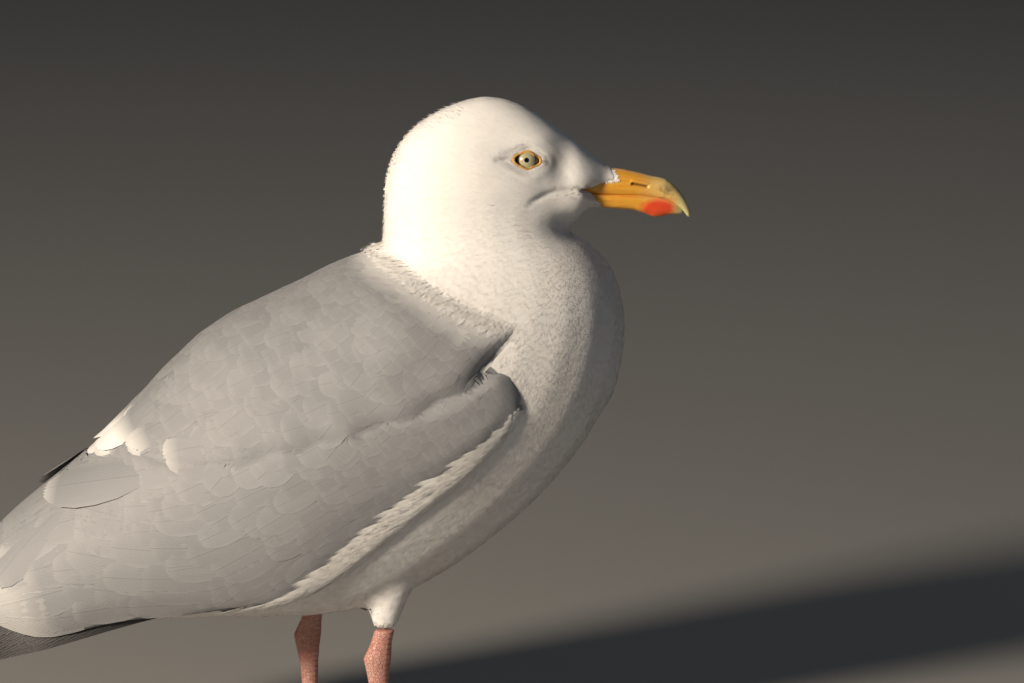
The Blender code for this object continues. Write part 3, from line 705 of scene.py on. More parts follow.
# ---------------------------------------------------------------------------
# Bill: two horny sheaths, hooked above and angled below, with a slit nostril in each side. Cast and
# painted orange-yellow, ivory at the tip, with a red spot on the angle of the lower half.
# ---------------------------------------------------------------------------
BILL_GRAIN = 0.42
NOSTRIL = ((116.6, 4.4, 297.2), (119.5, 4.4, 296.6), (123.8, 4.4, 295.6))
NOSTRIL_DEPTH = 1.5
NOSTRIL_WIDTH = 0.75
NOSTRIL_LIP = 1.25                  # how high over the slit its raised lip runs
GROOVE = ((96.0, 5.6, 299.0), (114.6, 4.9, 298.2))
CUTTING_EDGE = ((90.0, 6.0, 293.6), (118.0, 5.2, 291.9), (136.0, 3.8, 287.6))
LOWER_DENT = ((98.0, 5.2, 288.0), (122.0, 4.0, 286.4))
GONYS = (128.5, 0.0, 280.4)
HORN_YELLOW = (0.83, 0.43, 0.045, 1.0)
HORN_ORANGE = (0.80, 0.27, 0.03, 1.0)
HORN_IVORY = (0.74, 0.66, 0.32, 1.0)
GONYS_RED = (0.80, 0.055, 0.02, 1.0)
HORN_SMUDGE = (0.12, 0.10, 0.03, 1.0)


def sunk_along(points, path, width, depth):
    """How far each point sinks by a groove along a path on either side of the bill."""
    distance, _ = beside_path(points, path)
    return depth * np.exp(-((distance / width) ** 2)) * smooth_step(np.abs(points[:, 1]), 1.5, 2.5)


def mandible(name, node):
    """One half of the bill in even grain, with its faceting smoothed away and its relief modelled in."""
    piece = joined_form(name, (node,), BILL_GRAIN)
    keep_largest_shell(piece.data)
    relax(piece.data, 9)
    mesh = piece.data
    points = millimetres(read(mesh, "position"))
    normals = read(mesh, "normal")
    edge = feather_edge_x(points[:, 2])
    rise = 0.28 * smooth_step(points[:, 0], 92.0, 104.0)                 # what the smoothing took away
    rise = rise - 1.5 * smooth_step(edge - points[:, 0], 0.0, 1.6)       # where feathers cover it
    nostril_shade = np.zeros(len(points))
    if node == "bill_upper":
        sunk = sunk_along(points, NOSTRIL, NOSTRIL_WIDTH, NOSTRIL_DEPTH)
        sunk += sunk_along(points, GROOVE, 1.0, 0.35)
        sunk -= sunk_along(points - (0.0, 0.0, NOSTRIL_LIP), NOSTRIL, 0.7, 0.35)
        sunk -= sunk_along(points, CUTTING_EDGE, 0.55, 0.18)
        # the slit's floor is painted near-black by this share: painted shade for the depth of the nostril's
        # opening
        nostril_shade = np.clip(sunk / NOSTRIL_DEPTH * 1.25 - 0.35, 0.0, 1.0)
        rise = rise + 0.25 * smooth_step(points[:, 0], 126.0, 138.0)     # the hook
    else:
        angle = np.exp(-(((points - GONYS) / (5.0, 9.0, 2.4)) ** 2).sum(axis=1))
        sunk = sunk_along(points, LOWER_DENT, 1.6, 0.30) - 0.35 * angle
        points[:, 2] += 0.9 * smooth_step(normals[:, 2], 0.35, 0.75)     # it shuts inside the upper half
    keep_values(mesh, "nostril", nostril_shade)
    points += normals * (rise - sunk)[:, None]
    move_to(mesh, metres(points))
    mesh.shade_smooth()
    unwrap(piece)
    return piece


def bill_horn():
    """Horn with fine growth streaks along it; its colours run by the place on the bill."""
    material, tree, shader = new_material("bill horn")
    place = own_place(tree)
    at = add_node(tree, "ShaderNodeSeparateXYZ", Vector=place)
    x = calc(tree, "MULTIPLY", calc(tree, "SUBTRACT", at.outputs["X"], stance_x), 1.0 / MM)
    z = calc(tree, "MULTIPLY", at.outputs["Z"], 1.0 / MM)
    stretched = add_node(tree, "ShaderNodeMapping", Vector=place, Scale=(0.16, 1.0, 1.0)).outputs["Vector"]
    streaks = noise(tree, stretched, 900.0, 4.0)
    blotches = noise(tree, place, 180.0, 3.0)
    wander = calc(tree, "MULTIPLY", calc(tree, "SUBTRACT", blotches, 0.5), 5.0)
    wandering_x = calc(tree, "ADD", x, wander)
    orange = calc(tree, "MULTIPLY", ramp(tree, streaks, (0.35, 0.0), (0.7, 1.0)), 0.55)
    colour = mixed(tree, orange, HORN_YELLOW, HORN_ORANGE)

    tomium = calc(tree, "ABSOLUTE", calc(tree, "SUBTRACT", z, calc(tree, "MULTIPLY_ADD", x, -0.10, 302.4)))
    by_tomium = calc(tree, "MULTIPLY", ramp(tree, tomium, (0.0, 1.0), (1.0, 0.0)), 0.55)
    colour = mixed(tree, by_tomium, colour, (0.62, 0.20, 0.03, 1.0))

    high_or_beyond = calc(tree, "MAXIMUM", rising(tree, z, 284.0, 10.0), rising(tree, x, 134.0, 7.0))
    ivory = calc(tree, "MULTIPLY", rising(tree, wandering_x, 118.0, 24.0), high_or_beyond)
    colour = mixed(tree, ivory, colour, HORN_IVORY)

    def patch(middle_x, middle_z, long, high, soft):
        across = calc(tree, "DIVIDE", calc(tree, "SUBTRACT", wandering_x, middle_x), long)
        upward = calc(tree, "DIVIDE", calc(tree, "SUBTRACT", z, middle_z), high)
        out = calc(tree, "MULTIPLY_ADD", across, across, calc(tree, "MULTIPLY", upward, upward))
        return ramp(tree, calc(tree, "MULTIPLY", out, 0.5), (0.5 - soft, 1.0), (0.5 + soft, 0.0))

    colour = mixed(tree, calc(tree, "MULTIPLY", patch(129.6, 284.2, 8.6, 4.6, 0.28), 0.92), colour, GONYS_RED)
    smudge = ramp(tree, blotches, (0.45, 0.0), (0.62, 1.0))
    smudge = calc(tree, "MULTIPLY", patch(133.6, 292.6, 4.2, 3.2, 0.4), smudge)
    colour = mixed(tree, calc(tree, "MULTIPLY", smudge, 0.75), colour, HORN_SMUDGE)
    # painted shade in the nostril's slit, near-black
    colour = mixed(tree, named_value(tree, "nostril"), colour, (0.045, 0.018, 0.008, 1.0))

    scratches = noise(tree, stretched, 2600.0, 2.0)
    relief = calc(tree, "MULTIPLY_ADD", blotches, 0.8, calc(tree, "MULTIPLY_ADD", scratches, 0.4, streaks))
    finish_surface(tree, shader, colour, relief, 0.25, 0.0003,
                   calc(tree, "MULTIPLY_ADD", streaks, 0.22, 0.24),
                   Subsurface_Weight=0.12, Subsurface_Radius=(1.0, 0.4, 0.12), Subsurface_Scale=0.002,
                   Coat_Weight=0.25, Coat_Roughness=0.25)
    return material


horn = bill_horn()
bill_halves = []
for name, node in (("upper_mandible", "bill_upper"), ("lower_mandible", "bill_lower")):
    half = mandible(name, node)
    half.data.materials.append(horn)
    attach(half, "root")
    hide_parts(node)
    keep_values(half.data, "outward", read(half.data, "normal"), "FLOAT_VECTOR")
    bill_halves.append(half)

# ---------------------------------------------------------------------------
# Beds of the mantle, scapulars and folded wings. On the bird they are the layers of down and hidden
# feather bases; here they are two thin felted shells, laid over the hide, that the grey feathers lie on.
# ---------------------------------------------------------------------------
CLOAK_NODES = ("mantle", "scapulars_right", "scapulars_left", "wing_right", "wing_left", "tertials_right",
               "tertials_left")
CLOAK_LINES = (
    # ridge x, ridge z, lower edge x, y, z, widest half-width; a section of the cloak every 25 mm or so
    (-8.0, 267.0, 62.0, 54.5, 202.5, 55.0),
    (-28.0, 261.5, 43.0, 60.5, 178.0, 65.0),
    (-50.5, 250.6, 19.5, 61.5, 160.5, 69.5),
    (-73.0, 241.0, -6.0, 60.0, 141.0, 71.0),
    (-94.0, 230.0, -31.0, 57.0, 120.5, 70.0),
    (-114.0, 212.6, -56.0, 51.0, 98.5, 66.5),
    (-131.0, 194.4, -86.0, 46.0, 92.5, 61.0),
    (-146.5, 177.8, -117.0, 42.0, 92.0, 54.5),
    (-167.0, 160.6, -150.0, 38.0, 88.5, 47.0),
    (-189.0, 143.6, -181.0, 34.0, 80.5, 40.0),
    (-208.0, 125.0, -205.0, 29.0, 88.0, 32.0),
    (-222.0, 109.0, -220.0, 24.0, 96.0, 25.0),
)
CLOAK_END = len(CLOAK_LINES) - 1.0
SCAPULARS_END = 7.2
SHOULDER_BOW = 21.0                 # how far the shoulder's lower corner stands ahead of the first section
TUCK = 0.2                          # the wing's bed runs this far up under the scapulars
FORE_TUCK = 0.34                    # and this far at the shoulder, where they stand off it
WRIST_ROUNDING = 0.45               # how far the wrist's corners lie behind its middle, in sections
WRIST_ROLL = 4.0                    # how far its front edge turns in under the breast feathers
LOBE_START = 0.5                    # the scapulars' rounded ends along their lower edge
LOBE_SPACING = 0.95
LOBE_REACH = 0.05
LOBE_ROWS = ((0.92, 1.5), (0.70, 0.9), (0.47, 0.7), (0.24, 0.5))     # beside the ridge, height
FEATHER_BED = 0.8                   # from the beds up to the feathers' surface
BED_STEPS = (120, 72)
BED_THICKNESS = 0.9
CAST_FROM = 12.0                    # points are cast on the solids from this far outside
CAST_REACH = 0.030                  # and no further than this, in metres


def packed_form(nodes):
    """One surface to cast rays on, made of the named solids."""
    points, faces = [], []
    for node in nodes:
        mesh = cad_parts[node].data
        first = len(points)
        points += [vertex.co.copy() for vertex in mesh.vertices]
        faces += [tuple(first + index for index in polygon.vertices) for polygon in mesh.polygons]
    return BVHTree.FromPolygons(points, faces)


def lines_at(s):
    """The cloak's section at each s, on smooth curves through the listed ones."""
    table = np.array(CLOAK_LINES)
    s = np.clip(s, 0.0, CLOAK_END)
    first = np.minimum(s.astype(int), len(table) - 2)
    f = (s - first)[..., None]
    before, here = table[np.maximum(first - 1, 0)], table[first]
    there, after = table[first + 1], table[np.minimum(first + 2, len(table) - 1)]
    return 0.5 * (2 * here + (there - before) * f + (2 * before - 5 * here + 4 * there - after) * f ** 2
                  + (3 * here - before - 3 * there + after) * f ** 3)


def scapular_edge(s):
    closing = np.clip(s - 5.0, 0.0, None) / (SCAPULARS_END - 4.9)
    return (0.82 - 0.045 * s - 0.004 * s * s) * np.sqrt(np.clip(1.0 - closing ** 2, 0.0, 1.0))


def cloak_place(s, v, bow=0.0):
    """Outer points of the cloak at section s and share v from ridge to edge, and the middles they
    are cast towards, in millimetres."""
    ridge_x, ridge_z, edge_x, edge_y, edge_z, widest = np.moveaxis(lines_at(s), -1, 0)
    zero = np.zeros_like(ridge_x)
    ridge = np.stack((ridge_x, zero, ridge_z), -1)
    edge = np.stack((edge_x, zero, edge_z), -1)
    full_turn = math.pi - np.arcsin(np.minimum(edge_y / widest, 1.0))
    turn = np.abs(v) * full_turn
    fall = ((1.0 - np.cos(turn)) / (1.0 - np.cos(full_turn)))[..., None]
    downward = unit(edge - ridge)
    forward = np.stack((-downward[..., 2], zero, downward[..., 0]), -1)
    point = ridge + (edge - ridge) * fall + forward * np.asarray(bow)[..., None]
    point[..., 1] = np.sign(v) * widest * np.sin(turn)
    return point, ridge + (edge - ridge) * 0.5


def laid_on(form, points, middles, otherwise):
    """Moves points in or out towards their middles until they lie on the form; where a ray meets
    nothing, the point is drawn in by otherwise, a number or one for each row."""
    shape = points.shape
    drawn_in = np.broadcast_to(otherwise, shape[:2]).reshape(-1, 1)
    points, middles = points.reshape(-1, 3), middles.reshape(-1, 3)
    heading = unit(middles - points)
    laid = points + heading * drawn_in
    starts = metres(points - heading * CAST_FROM)
    for number, (start, direction) in enumerate(zip(starts, heading)):
        hit = form.ray_cast(Vector(start), Vector(direction), CAST_REACH)[0]
        if hit:
            laid[number] = millimetres(hit)
    return laid.reshape(shape)


def relax_grid(grid, rounds):
    for _ in range(rounds):
        middle = grid[1:-1, 1:-1]
        around = (grid[:-2, 1:-1] + grid[2:, 1:-1] + grid[1:-1, :-2] + grid[1:-1, 2:]) / 4.0
        grid[1:-1, 1:-1] = middle + (around - middle) * 0.6
        for rim in (0, -1):
            grid[rim, 1:-1] += ((grid[rim, :-2] + grid[rim, 2:]) / 2.0 - grid[rim, 1:-1]) * 0.5
            grid[1:-1, rim] += ((grid[:-2, rim] + grid[2:, rim]) / 2.0 - grid[1:-1, rim]) * 0.5
    return grid


def grid_normals(grid, outer_side):
    """Unit normals of a grid of points; outer_side is 1 or -1, which way round the grid runs."""
    along = np.gradient(grid, axis=0)
    across = np.gradient(grid, axis=1)
    return unit(np.cross(along, across)) * outer_side


def along_grid(grid, axis):
    """Distance from the first row or column, in millimetres."""
    steps = np.linalg.norm(np.diff(grid, axis=axis), axis=-1)
    return np.concatenate((np.zeros_like(np.take(steps, [0], axis)), np.cumsum(steps, axis)), axis)


def shell_faces(rows, columns):
    """Faces of a closed shell between two grids of points, the outer one numbered first."""
    count = rows * columns
    index = np.arange(count).reshape(rows, columns)
    faces = []
    for i in range(rows - 1):
        for j in range(columns - 1):
            quad = (index[i, j], index[i, j + 1], index[i + 1, j + 1], index[i + 1, j])
            faces += [quad, tuple(count + k for k in reversed(quad))]
    rim = [*index[0, :], *index[1:, -1], *index[-1, -2::-1], *index[-2:0:-1, 0]]
    for here, there in zip(rim, rim[1:] + rim[:1]):
        faces.append((here, count + here, count + there, there))
    return [tuple(map(int, face)) for face in faces]


class Bed:
    """A grid of points over part of the cloak, asked for by shares of the way along and across it."""

    def __init__(self, points, outer_side):
        self.points = points
        self.normals = grid_normals(points, outer_side)

    def at(self, along, across):
        """Places, normals and headings along and across at these shares."""
        rows, columns = self.points.shape[:2]
        i = np.clip(np.asarray(along) * (rows - 1), 0.0, rows - 1.001)
        j = np.clip(np.asarray(across) * (columns - 1), 0.0, columns - 1.001)
        i0, j0 = i.astype(int), j.astype(int)
        fi, fj = (i - i0)[..., None], (j - j0)[..., None]

        def blend(values):
            near = values[i0, j0] * (1 - fj) + values[i0, j0 + 1] * fj
            far = values[i0 + 1, j0] * (1 - fj) + values[i0 + 1, j0 + 1] * fj
            return near * (1 - fi) + far * fi

        back = unit(blend(np.gradient(self.points, axis=0)))
        sideways = unit(blend(np.gradient(self.points, axis=1)))
        return blend(self.points), unit(blend(self.normals)), back, sideways

    def piece(self, name, thickness):
        """The bed as a closed shell, with its own map."""
        rows, columns = self.points.shape[:2]
        outer = self.points.reshape(-1, 3)
        inner = (self.points - self.normals * thickness).reshape(-1, 3)
        mesh = bpy.data.meshes.new(name)
        mesh.from_pydata(metres(np.concatenate((outer, inner))).tolist(), [], shell_faces(rows, columns))
        work = bmesh.new()
        work.from_mesh(mesh)
        bmesh.ops.recalc_face_normals(work, faces=work.faces)
        work.to_mesh(mesh)
        work.free()
        mesh.shade_smooth()
        keep_values(mesh, "outward", np.concatenate((self.normals.reshape(-1, 3),) * 2), "FLOAT_VECTOR")
        keep_values(mesh, "tuft_tone", np.full(2 * rows * columns, 0.4))
        shares = np.stack(np.meshgrid(np.linspace(0, 1, rows), np.linspace(0, 1, columns), indexing="ij"), -1)
        shares = np.concatenate((shares.reshape(-1, 2) * (0.96, 0.45) + (0.02, 0.02),
                                 shares.reshape(-1, 2) * (0.96, 0.45) + (0.02, 0.52)))
        corners = np.empty(len(mesh.loops), dtype=np.int64)
        mesh.loops.foreach_get("vertex_index", corners)
        layer = mesh.uv_layers.new(name="OFBake")
        layer.data.foreach_set("uv", shares[corners].reshape(-1))
        return new_piece(name, mesh)


def back_bed():
    """Mantle and scapulars from edge to edge over the ridge, rolled in at the shoulders."""
    s = np.linspace(0.0, SCAPULARS_END - 0.03, BED_STEPS[0])[:, None]
    share = np.linspace(-1.0, 1.0, BED_STEPS[1] * 2 + 1)[None, :]
    lobed = LOBE_REACH * np.abs(np.sin(math.pi * (s - LOBE_START) / LOBE_SPACING)) * smooth_step(s, 0.6, 1.4)
    edge = np.maximum(scapular_edge(s) * (1.0 + lobed), 0.02)
    v = share * edge
    s = s + 0.0 * v
    fading = np.clip(1.0 - s / 2.4, 0.0, 1.0) ** 2
    bow = SHOULDER_BOW * np.abs(share) ** 3.5 * fading
    points, middles = cloak_place(s, v, bow)
    points = relax_grid(laid_on(cloak_form, points, middles, 1.0), 14)
    normals = grid_normals(points, -1.0)
    from_front = along_grid(points, 0)
    from_rim = along_grid(points, 1)
    from_rim = np.minimum(from_rim, from_rim[:, -1:] - from_rim)
    low_shoulder = np.abs(share) ** 3 * np.clip(1.15 - s / 2.6, 0.0, 1.0)
    roll = 5.0 * np.clip(1.0 - from_front / 20.0, 0.0, 1.0) ** 2 * np.abs(share) ** 2
    at_rim = np.clip(1.0 - from_rim / (7.0 + 9.0 * low_shoulder), 0.0, 1.0)
    roll = np.maximum(roll, (1.2 + 4.3 * low_shoulder) * at_rim ** 2)
    swell = 1.6 * np.exp(-((s - 1.0) / 0.8) ** 2 - ((np.abs(share) - 0.62) / 0.22) ** 2)
    for row, (beside, height) in enumerate(LOBE_ROWS):
        for middle in np.arange(LOBE_START + LOBE_SPACING * (0.5 + 0.5 * (row % 2)), 6.6, LOBE_SPACING):
            swell += height * np.exp(-((s - middle) / 0.30) ** 2 - ((np.abs(share) - beside) / 0.11) ** 2)
    points += normals * (swell - roll - FEATHER_BED)[..., None]
    return Bed(relax_grid(points, 3), -1.0)


def wing_top(s):
    """Where the wing's bed starts under the scapulars, as a share from ridge to edge."""
    tuck = TUCK + (FORE_TUCK - TUCK) * (1.0 - smooth_step(s, 0.8, 2.2))
    return np.maximum(scapular_edge(s) - tuck, -0.02)


def wing_bed(side):
    """A folded wing from under the scapulars to its lower edge, and the tertials to their end."""
    s = np.linspace(0.0, CLOAK_END, BED_STEPS[0])[:, None]
    down = np.linspace(0.0, 1.0, BED_STEPS[1])[None, :]
    top = wing_top(s)
    v = side * (top + (1.0 - top) * down)
    s = s + WRIST_ROUNDING * np.abs(2.0 * down - 1.0) ** 3 * np.clip(1.0 - s / 1.4, 0.0, 1.0)
    points, middles = cloak_place(s, v)
    points = laid_on(wing_forms[side], points, middles, 4.2 - 3.9 * smooth_step(s, 6.1, 6.8))
    points = relax_grid(points, 10)
    normals = grid_normals(points, -side)
    rolled = WRIST_ROLL * np.clip(1.0 - along_grid(points, 0) / 14.0, 0.0, 1.0) ** 2
    return Bed(points - normals * (FEATHER_BED + rolled)[..., None], -side)


def grey_plumage():
    """Matt pale grey vanes, darker along the shaft, each with a paler fringe and, where pale says so,
    a white end."""
    material, tree, shader = new_material("grey plumage")
    place = own_place(tree)
    clouds = noise(tree, place, 26.0, 3.0)
    tone = calc(tree, "MULTIPLY", named_value(tree, "tuft_tone"), 0.55)
    tone = calc(tree, "MULTIPLY_ADD", clouds, 0.6, tone)
    grey = mixed(tree, tone, (0.24, 0.245, 0.255, 1.0), (0.305, 0.31, 0.32, 1.0))
    along, across, barbs = barbed_vane(tree, 60.0, 38.0, 2.4)
    at_sides = ramp(tree, across, (0.72, 0.0), (1.0, 1.0))
    at_tip = ramp(tree, along, (0.86, 0.0), (1.0, 1.0))
    fringe = calc(tree, "MAXIMUM", at_sides, at_tip)
    colour = mixed(tree, calc(tree, "MULTIPLY", fringe, 0.3), grey, (0.40, 0.40, 0.40, 1.0))
    shaft = ramp(tree, across, (0.0, 1.0), (0.05, 0.0))
    colour = mixed(tree, calc(tree, "MULTIPLY", shaft, 0.25), colour, (0.16, 0.163, 0.17, 1.0))
    with_pale = calc(tree, "ADD", along, named_value(tree, "pale"))
    whitened = rising(tree, with_pale, 1.0, 0.3)
    white_end = mixed(tree, named_value(tree, "whiteness"), (0.42, 0.415, 0.41, 1.0), WHITE_FEATHER)
    colour = mixed(tree, whitened, colour, white_end)
    fall = calc(tree, "MULTIPLY", named_value(tree, "frontal_fall"), along)
    by_neck = ramp(tree, calc(tree, "SUBTRACT", named_value(tree, "frontal"), fall), (0.0, 0.0), (1.0, 0.95))
    colour = mixed(tree, by_neck, colour, WHITE_FEATHER)
    down = noise(tree, place, 1300.0, 2.0)
    relief = calc(tree, "MULTIPLY_ADD", barbs, 0.3, down)
    relief = calc(tree, "MULTIPLY_ADD", shaft, 1.2, relief)
    finish_surface(tree, shader, colour, relief, 0.3, 0.0003,
                   calc(tree, "MULTIPLY_ADD", down, 0.2, 0.55),
                   Sheen_Weight=0.1, Sheen_Roughness=0.5)
    return material


cloak_form = packed_form(CLOAK_NODES)
wing_forms = {side: packed_form((f"wing_{name}", f"tertials_{name}")) for name, side in SIDES}
grey = grey_plumage()
back = back_bed()
back_shell = back.piece("back_bed", BED_THICKNESS)
back_shell.data.materials.append(grey)
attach(back_shell, "root")
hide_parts("mantle", "scapulars_right", "scapulars_left")
wing_beds = {side: wing_bed(side) for _, side in SIDES}
wing_shells = {}
for side_name, side in SIDES:
    wing_shells[side] = wing_beds[side].piece(f"wing_bed_{side_name}", BED_THICKNESS)
    wing_shells[side].data.materials.append(grey)
    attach(wing_shells[side], "root")
    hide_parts(f"wing_{side_name}", f"tertials_{side_name}")

# ---------------------------------------------------------------------------
# White plumage of the head, neck, breast, belly and thighs: small soft contour feathers, each a thin
# vane with a frayed end, fixed in the hide by its root and lying over the ones behind it.
# ---------------------------------------------------------------------------
PATCH = 0.003                       # each vane's share of the map that its colours are kept in
BEDDED_FROM = 0.009                 # in metres: a vane's points look for the surface from this far above
BEDDED_WITHIN = 0.022               # and no further than this
LEAST_LIFT = 0.00003                # no vane lies closer to the surface
LIFT_CURVE = 1.25                   # how soon a vane rises from its root


def vane_mesh(name, rows, tips):
    """A flat vane of unit length along Y, from its root; rows are (way along, half-width, points across).
    Past the last row it frays into pointed tips at these ways along."""
    work = bmesh.new()
    lines = []
    for along, half, count in rows:
        shares = [0.0] if count == 1 else [2.0 * k / (count - 1) - 1.0 for k in range(count)]
        lines.append([work.verts.new((half * share, along, 0.0)) for share in shares])
    for near, far in zip(lines, lines[1:]):
        for k in range(len(far) - 1):
            first = near[min(k, len(near) - 1)]
            second = near[min(k + 1, len(near) - 1)]
            corners = [first, second, far[k + 1], far[k]]
            work.faces.new(list(dict.fromkeys(corners)))
    last = lines[-1]
    for k, along in enumerate(tips):
        middle = 0.5 * (last[k].co.x + last[k + 1].co.x)
        tip = work.verts.new((middle * 1.06, along, 0.0))
        work.faces.new((last[k], last[k + 1], tip))
    for face in work.faces:
        face.normal_update()
        if face.normal.z < 0.0:
            face.normal_flip()
    mesh = mesh_of(name, work)
    mesh.shade_smooth()
    points = read(mesh, "position")
    keep_values(mesh, "vane", points * (2.0, 1.0, 0.0), "FLOAT_VECTOR")
    return bpy.data.objects.new(name, mesh)


def tree_inputs(tree, wanted):
    for name, kind in wanted.items():
        tree.interface.new_socket(name=name, in_out="INPUT", socket_type="NodeSocket" + kind)
    tree.interface.new_socket(name="Geometry", in_out="OUTPUT", socket_type="NodeSocketGeometry")
    return tree.nodes.new("NodeGroupInput"), tree.nodes.new("NodeGroupOutput")


def stored(tree, name, kind="FLOAT"):
    node = add_node(tree, "GeometryNodeInputNamedAttribute", {"data_type": kind}, Name=name)
    return node.outputs["Attribute"]


def vector_calc(tree, operation, first, second=None, scale=None):
    node = add_node(tree, "ShaderNodeVectorMath", {"operation": operation})
    for number, value in ((0, first), (1, second), (3, scale)):
        feed(tree, node.inputs[number], value)
    return node.outputs[0]


def store(tree, geometry, name, value, settings):
    """The geometry with a value stored on it under a name."""
    return add_node(tree, "GeometryNodeStoreNamedAttribute", settings, Geometry=geometry, Name=name,
                    Value=value).outputs["Geometry"]


def plumage_tree(name, scattered):
    """Sets a vane on each root, heads it along the lie, beds it on the surface below and lifts its end.

    The roots are scattered over the given surface, or are the given points themselves. They carry
    lie, outward, tuft_length, tuft_width, tuft_depth and root_map. Each vane's height above the
    surface grows from its root to its tip; where they carry tuft_tilt, one edge rides higher.
    """
    tree = bpy.data.node_groups.new(name, "GeometryNodeTree")
    given, result = tree_inputs(tree, {
        "Geometry": "Geometry", "Surface": "Object", "Vane": "Object", "Spacing": "Float", "Seed": "Int",
        "Turn": "Float", "Size Range": "Float", "Root Height": "Float", "Camber": "Float",
        "Material": "Material",
    })
    surface = add_node(tree, "GeometryNodeObjectInfo", Object=given.outputs["Surface"]).outputs["Geometry"]
    vane = add_node(tree, "GeometryNodeObjectInfo", Object=given.outputs["Vane"]).outputs["Geometry"]
    seed = given.outputs["Seed"]
    if scattered:
        coat = stored(tree, "coat")
        spacing = given.outputs["Spacing"]
        there = add_node(tree, "FunctionNodeCompare", {"operation": "GREATER_THAN"}, A=coat, B=0.02)
        area = add_node(tree, "GeometryNodeSeparateGeometry", {"domain": "FACE"},
                        Geometry=given.outputs["Geometry"], Selection=there.outputs["Result"])
        densest = calc(tree, "DIVIDE", 3.2, calc(tree, "POWER", spacing, 2.0))
        roots = add_node(tree, "GeometryNodeDistributePointsOnFaces", {"distribute_method": "POISSON"},
                         Mesh=area.outputs["Selection"], Distance_Min=spacing, Density_Max=densest,
                         Density_Factor=coat, Seed=seed).outputs["Points"]
    else:
        roots = add_node(tree, "GeometryNodeMeshToPoints", Mesh=given.outputs["Geometry"]).outputs["Points"]
    tone = add_node(tree, "FunctionNodeRandomValue", Seed=seed).outputs[1]
    roots = store(tree, roots, "tuft_tone", tone, {"domain": "POINT"})
    upright = add_node(tree, "FunctionNodeAxesToRotation", {"primary_axis": "Z", "secondary_axis": "Y"},
                       Primary_Axis=stored(tree, "outward", "FLOAT_VECTOR"),
                       Secondary_Axis=stored(tree, "lie", "FLOAT_VECTOR")).outputs["Rotation"]
    turn = add_node(tree, "FunctionNodeRandomValue", Seed=calc(tree, "ADD", seed, 1.0), Min=-1.0, Max=1.0)
    turn = calc(tree, "MULTIPLY", turn.outputs[1], given.outputs["Turn"])
    euler = add_node(tree, "ShaderNodeCombineXYZ", Z=turn).outputs["Vector"]
    jitter = add_node(tree, "FunctionNodeEulerToRotation", Euler=euler).outputs["Rotation"]
    turned = add_node(tree, "FunctionNodeRotateRotation", {"rotation_space": "LOCAL"}, Rotation=upright,
                      Rotate_By=jitter).outputs["Rotation"]
    size = add_node(tree, "FunctionNodeRandomValue", Seed=calc(tree, "ADD", seed, 2.0), Min=-1.0, Max=1.0)
    size = calc(tree, "MULTIPLY_ADD", size.outputs[1], given.outputs["Size Range"], 1.0)
    extent = add_node(tree, "ShaderNodeCombineXYZ", X=stored(tree, "tuft_width"),
                      Y=stored(tree, "tuft_length"), Z=1.0).outputs["Vector"]
    vanes = add_node(tree, "GeometryNodeInstanceOnPoints", Points=roots, Instance=vane, Rotation=turned,
                     Scale=vector_calc(tree, "SCALE", extent, scale=size)).outputs["Instances"]
    vanes = add_node(tree, "GeometryNodeRealizeInstances", Geometry=vanes).outputs["Geometry"]

    position = add_node(tree, "GeometryNodeInputPosition").outputs["Position"]
    outward = stored(tree, "outward", "FLOAT_VECTOR")
    above = vector_calc(tree, "ADD", position, vector_calc(tree, "SCALE", outward, scale=BEDDED_FROM))
    down = vector_calc(tree, "SCALE", outward, scale=-1.0)
    hit = {}
    for what, value in (("place", position), ("heading", outward)):
        cast = add_node(tree, "GeometryNodeRaycast", {"data_type": "FLOAT_VECTOR"}, Target_Geometry=surface,
                        Attribute=value, Source_Position=above, Ray_Direction=down,
                        Ray_Length=BEDDED_WITHIN)
        near = add_node(tree, "GeometryNodeSampleNearestSurface", {"data_type": "FLOAT_VECTOR"}, Mesh=surface,
                        Value=value, Sample_Position=position)
        hit[what] = add_node(tree, "GeometryNodeSwitch", {"input_type": "VECTOR"},
                             Switch=cast.outputs["Is Hit"], False_=near.outputs["Value"],
                             True_=cast.outputs["Attribute"]).outputs["Output"]
    across = add_node(tree, "ShaderNodeSeparateXYZ", Vector=stored(tree, "vane", "FLOAT_VECTOR"))
    left_to_go = calc(tree, "SUBTRACT", 1.0, across.outputs["Y"])
    rise = calc(tree, "SUBTRACT", 1.0, calc(tree, "POWER", left_to_go, LIFT_CURVE))
    low = given.outputs["Root Height"]
    lift = calc(tree, "MULTIPLY_ADD", rise, calc(tree, "SUBTRACT", 1.0, low), low)
    lift = calc(tree, "MULTIPLY", lift, calc(tree, "MULTIPLY_ADD", stored(tree, "tuft_tone"), 0.08, 0.96))
    lift = calc(tree, "MULTIPLY", lift, stored(tree, "tuft_depth"))
    fall = calc(tree, "MULTIPLY", calc(tree, "POWER", across.outputs["X"], 2.0), given.outputs["Camber"])
    tilt = calc(tree, "MULTIPLY", across.outputs["X"], stored(tree, "tuft_tilt"))
    lift = calc(tree, "ADD", calc(tree, "SUBTRACT", lift, fall), tilt)
    lift = calc(tree, "MAXIMUM", lift, LEAST_LIFT)
    bedded = vector_calc(tree, "ADD", hit["place"], vector_calc(tree, "SCALE", hit["heading"], scale=lift))
    vanes = store(tree, vanes, "ground_normal", hit["heading"],
                  {"data_type": "FLOAT_VECTOR", "domain": "POINT"})
    vanes = add_node(tree, "GeometryNodeSetPosition", Geometry=vanes, Position=bedded).outputs["Geometry"]
    patch = vector_calc(tree, "SCALE", vector_calc(tree, "MULTIPLY", stored(tree, "vane", "FLOAT_VECTOR"),
                                                   (0.5, 1.0, 0.0)), scale=PATCH)
    patch = vector_calc(tree, "ADD", stored(tree, "root_map", "FLOAT_VECTOR"), patch)
    vanes = store(tree, vanes, "OFBake", patch, {"data_type": "FLOAT2", "domain": "CORNER"})
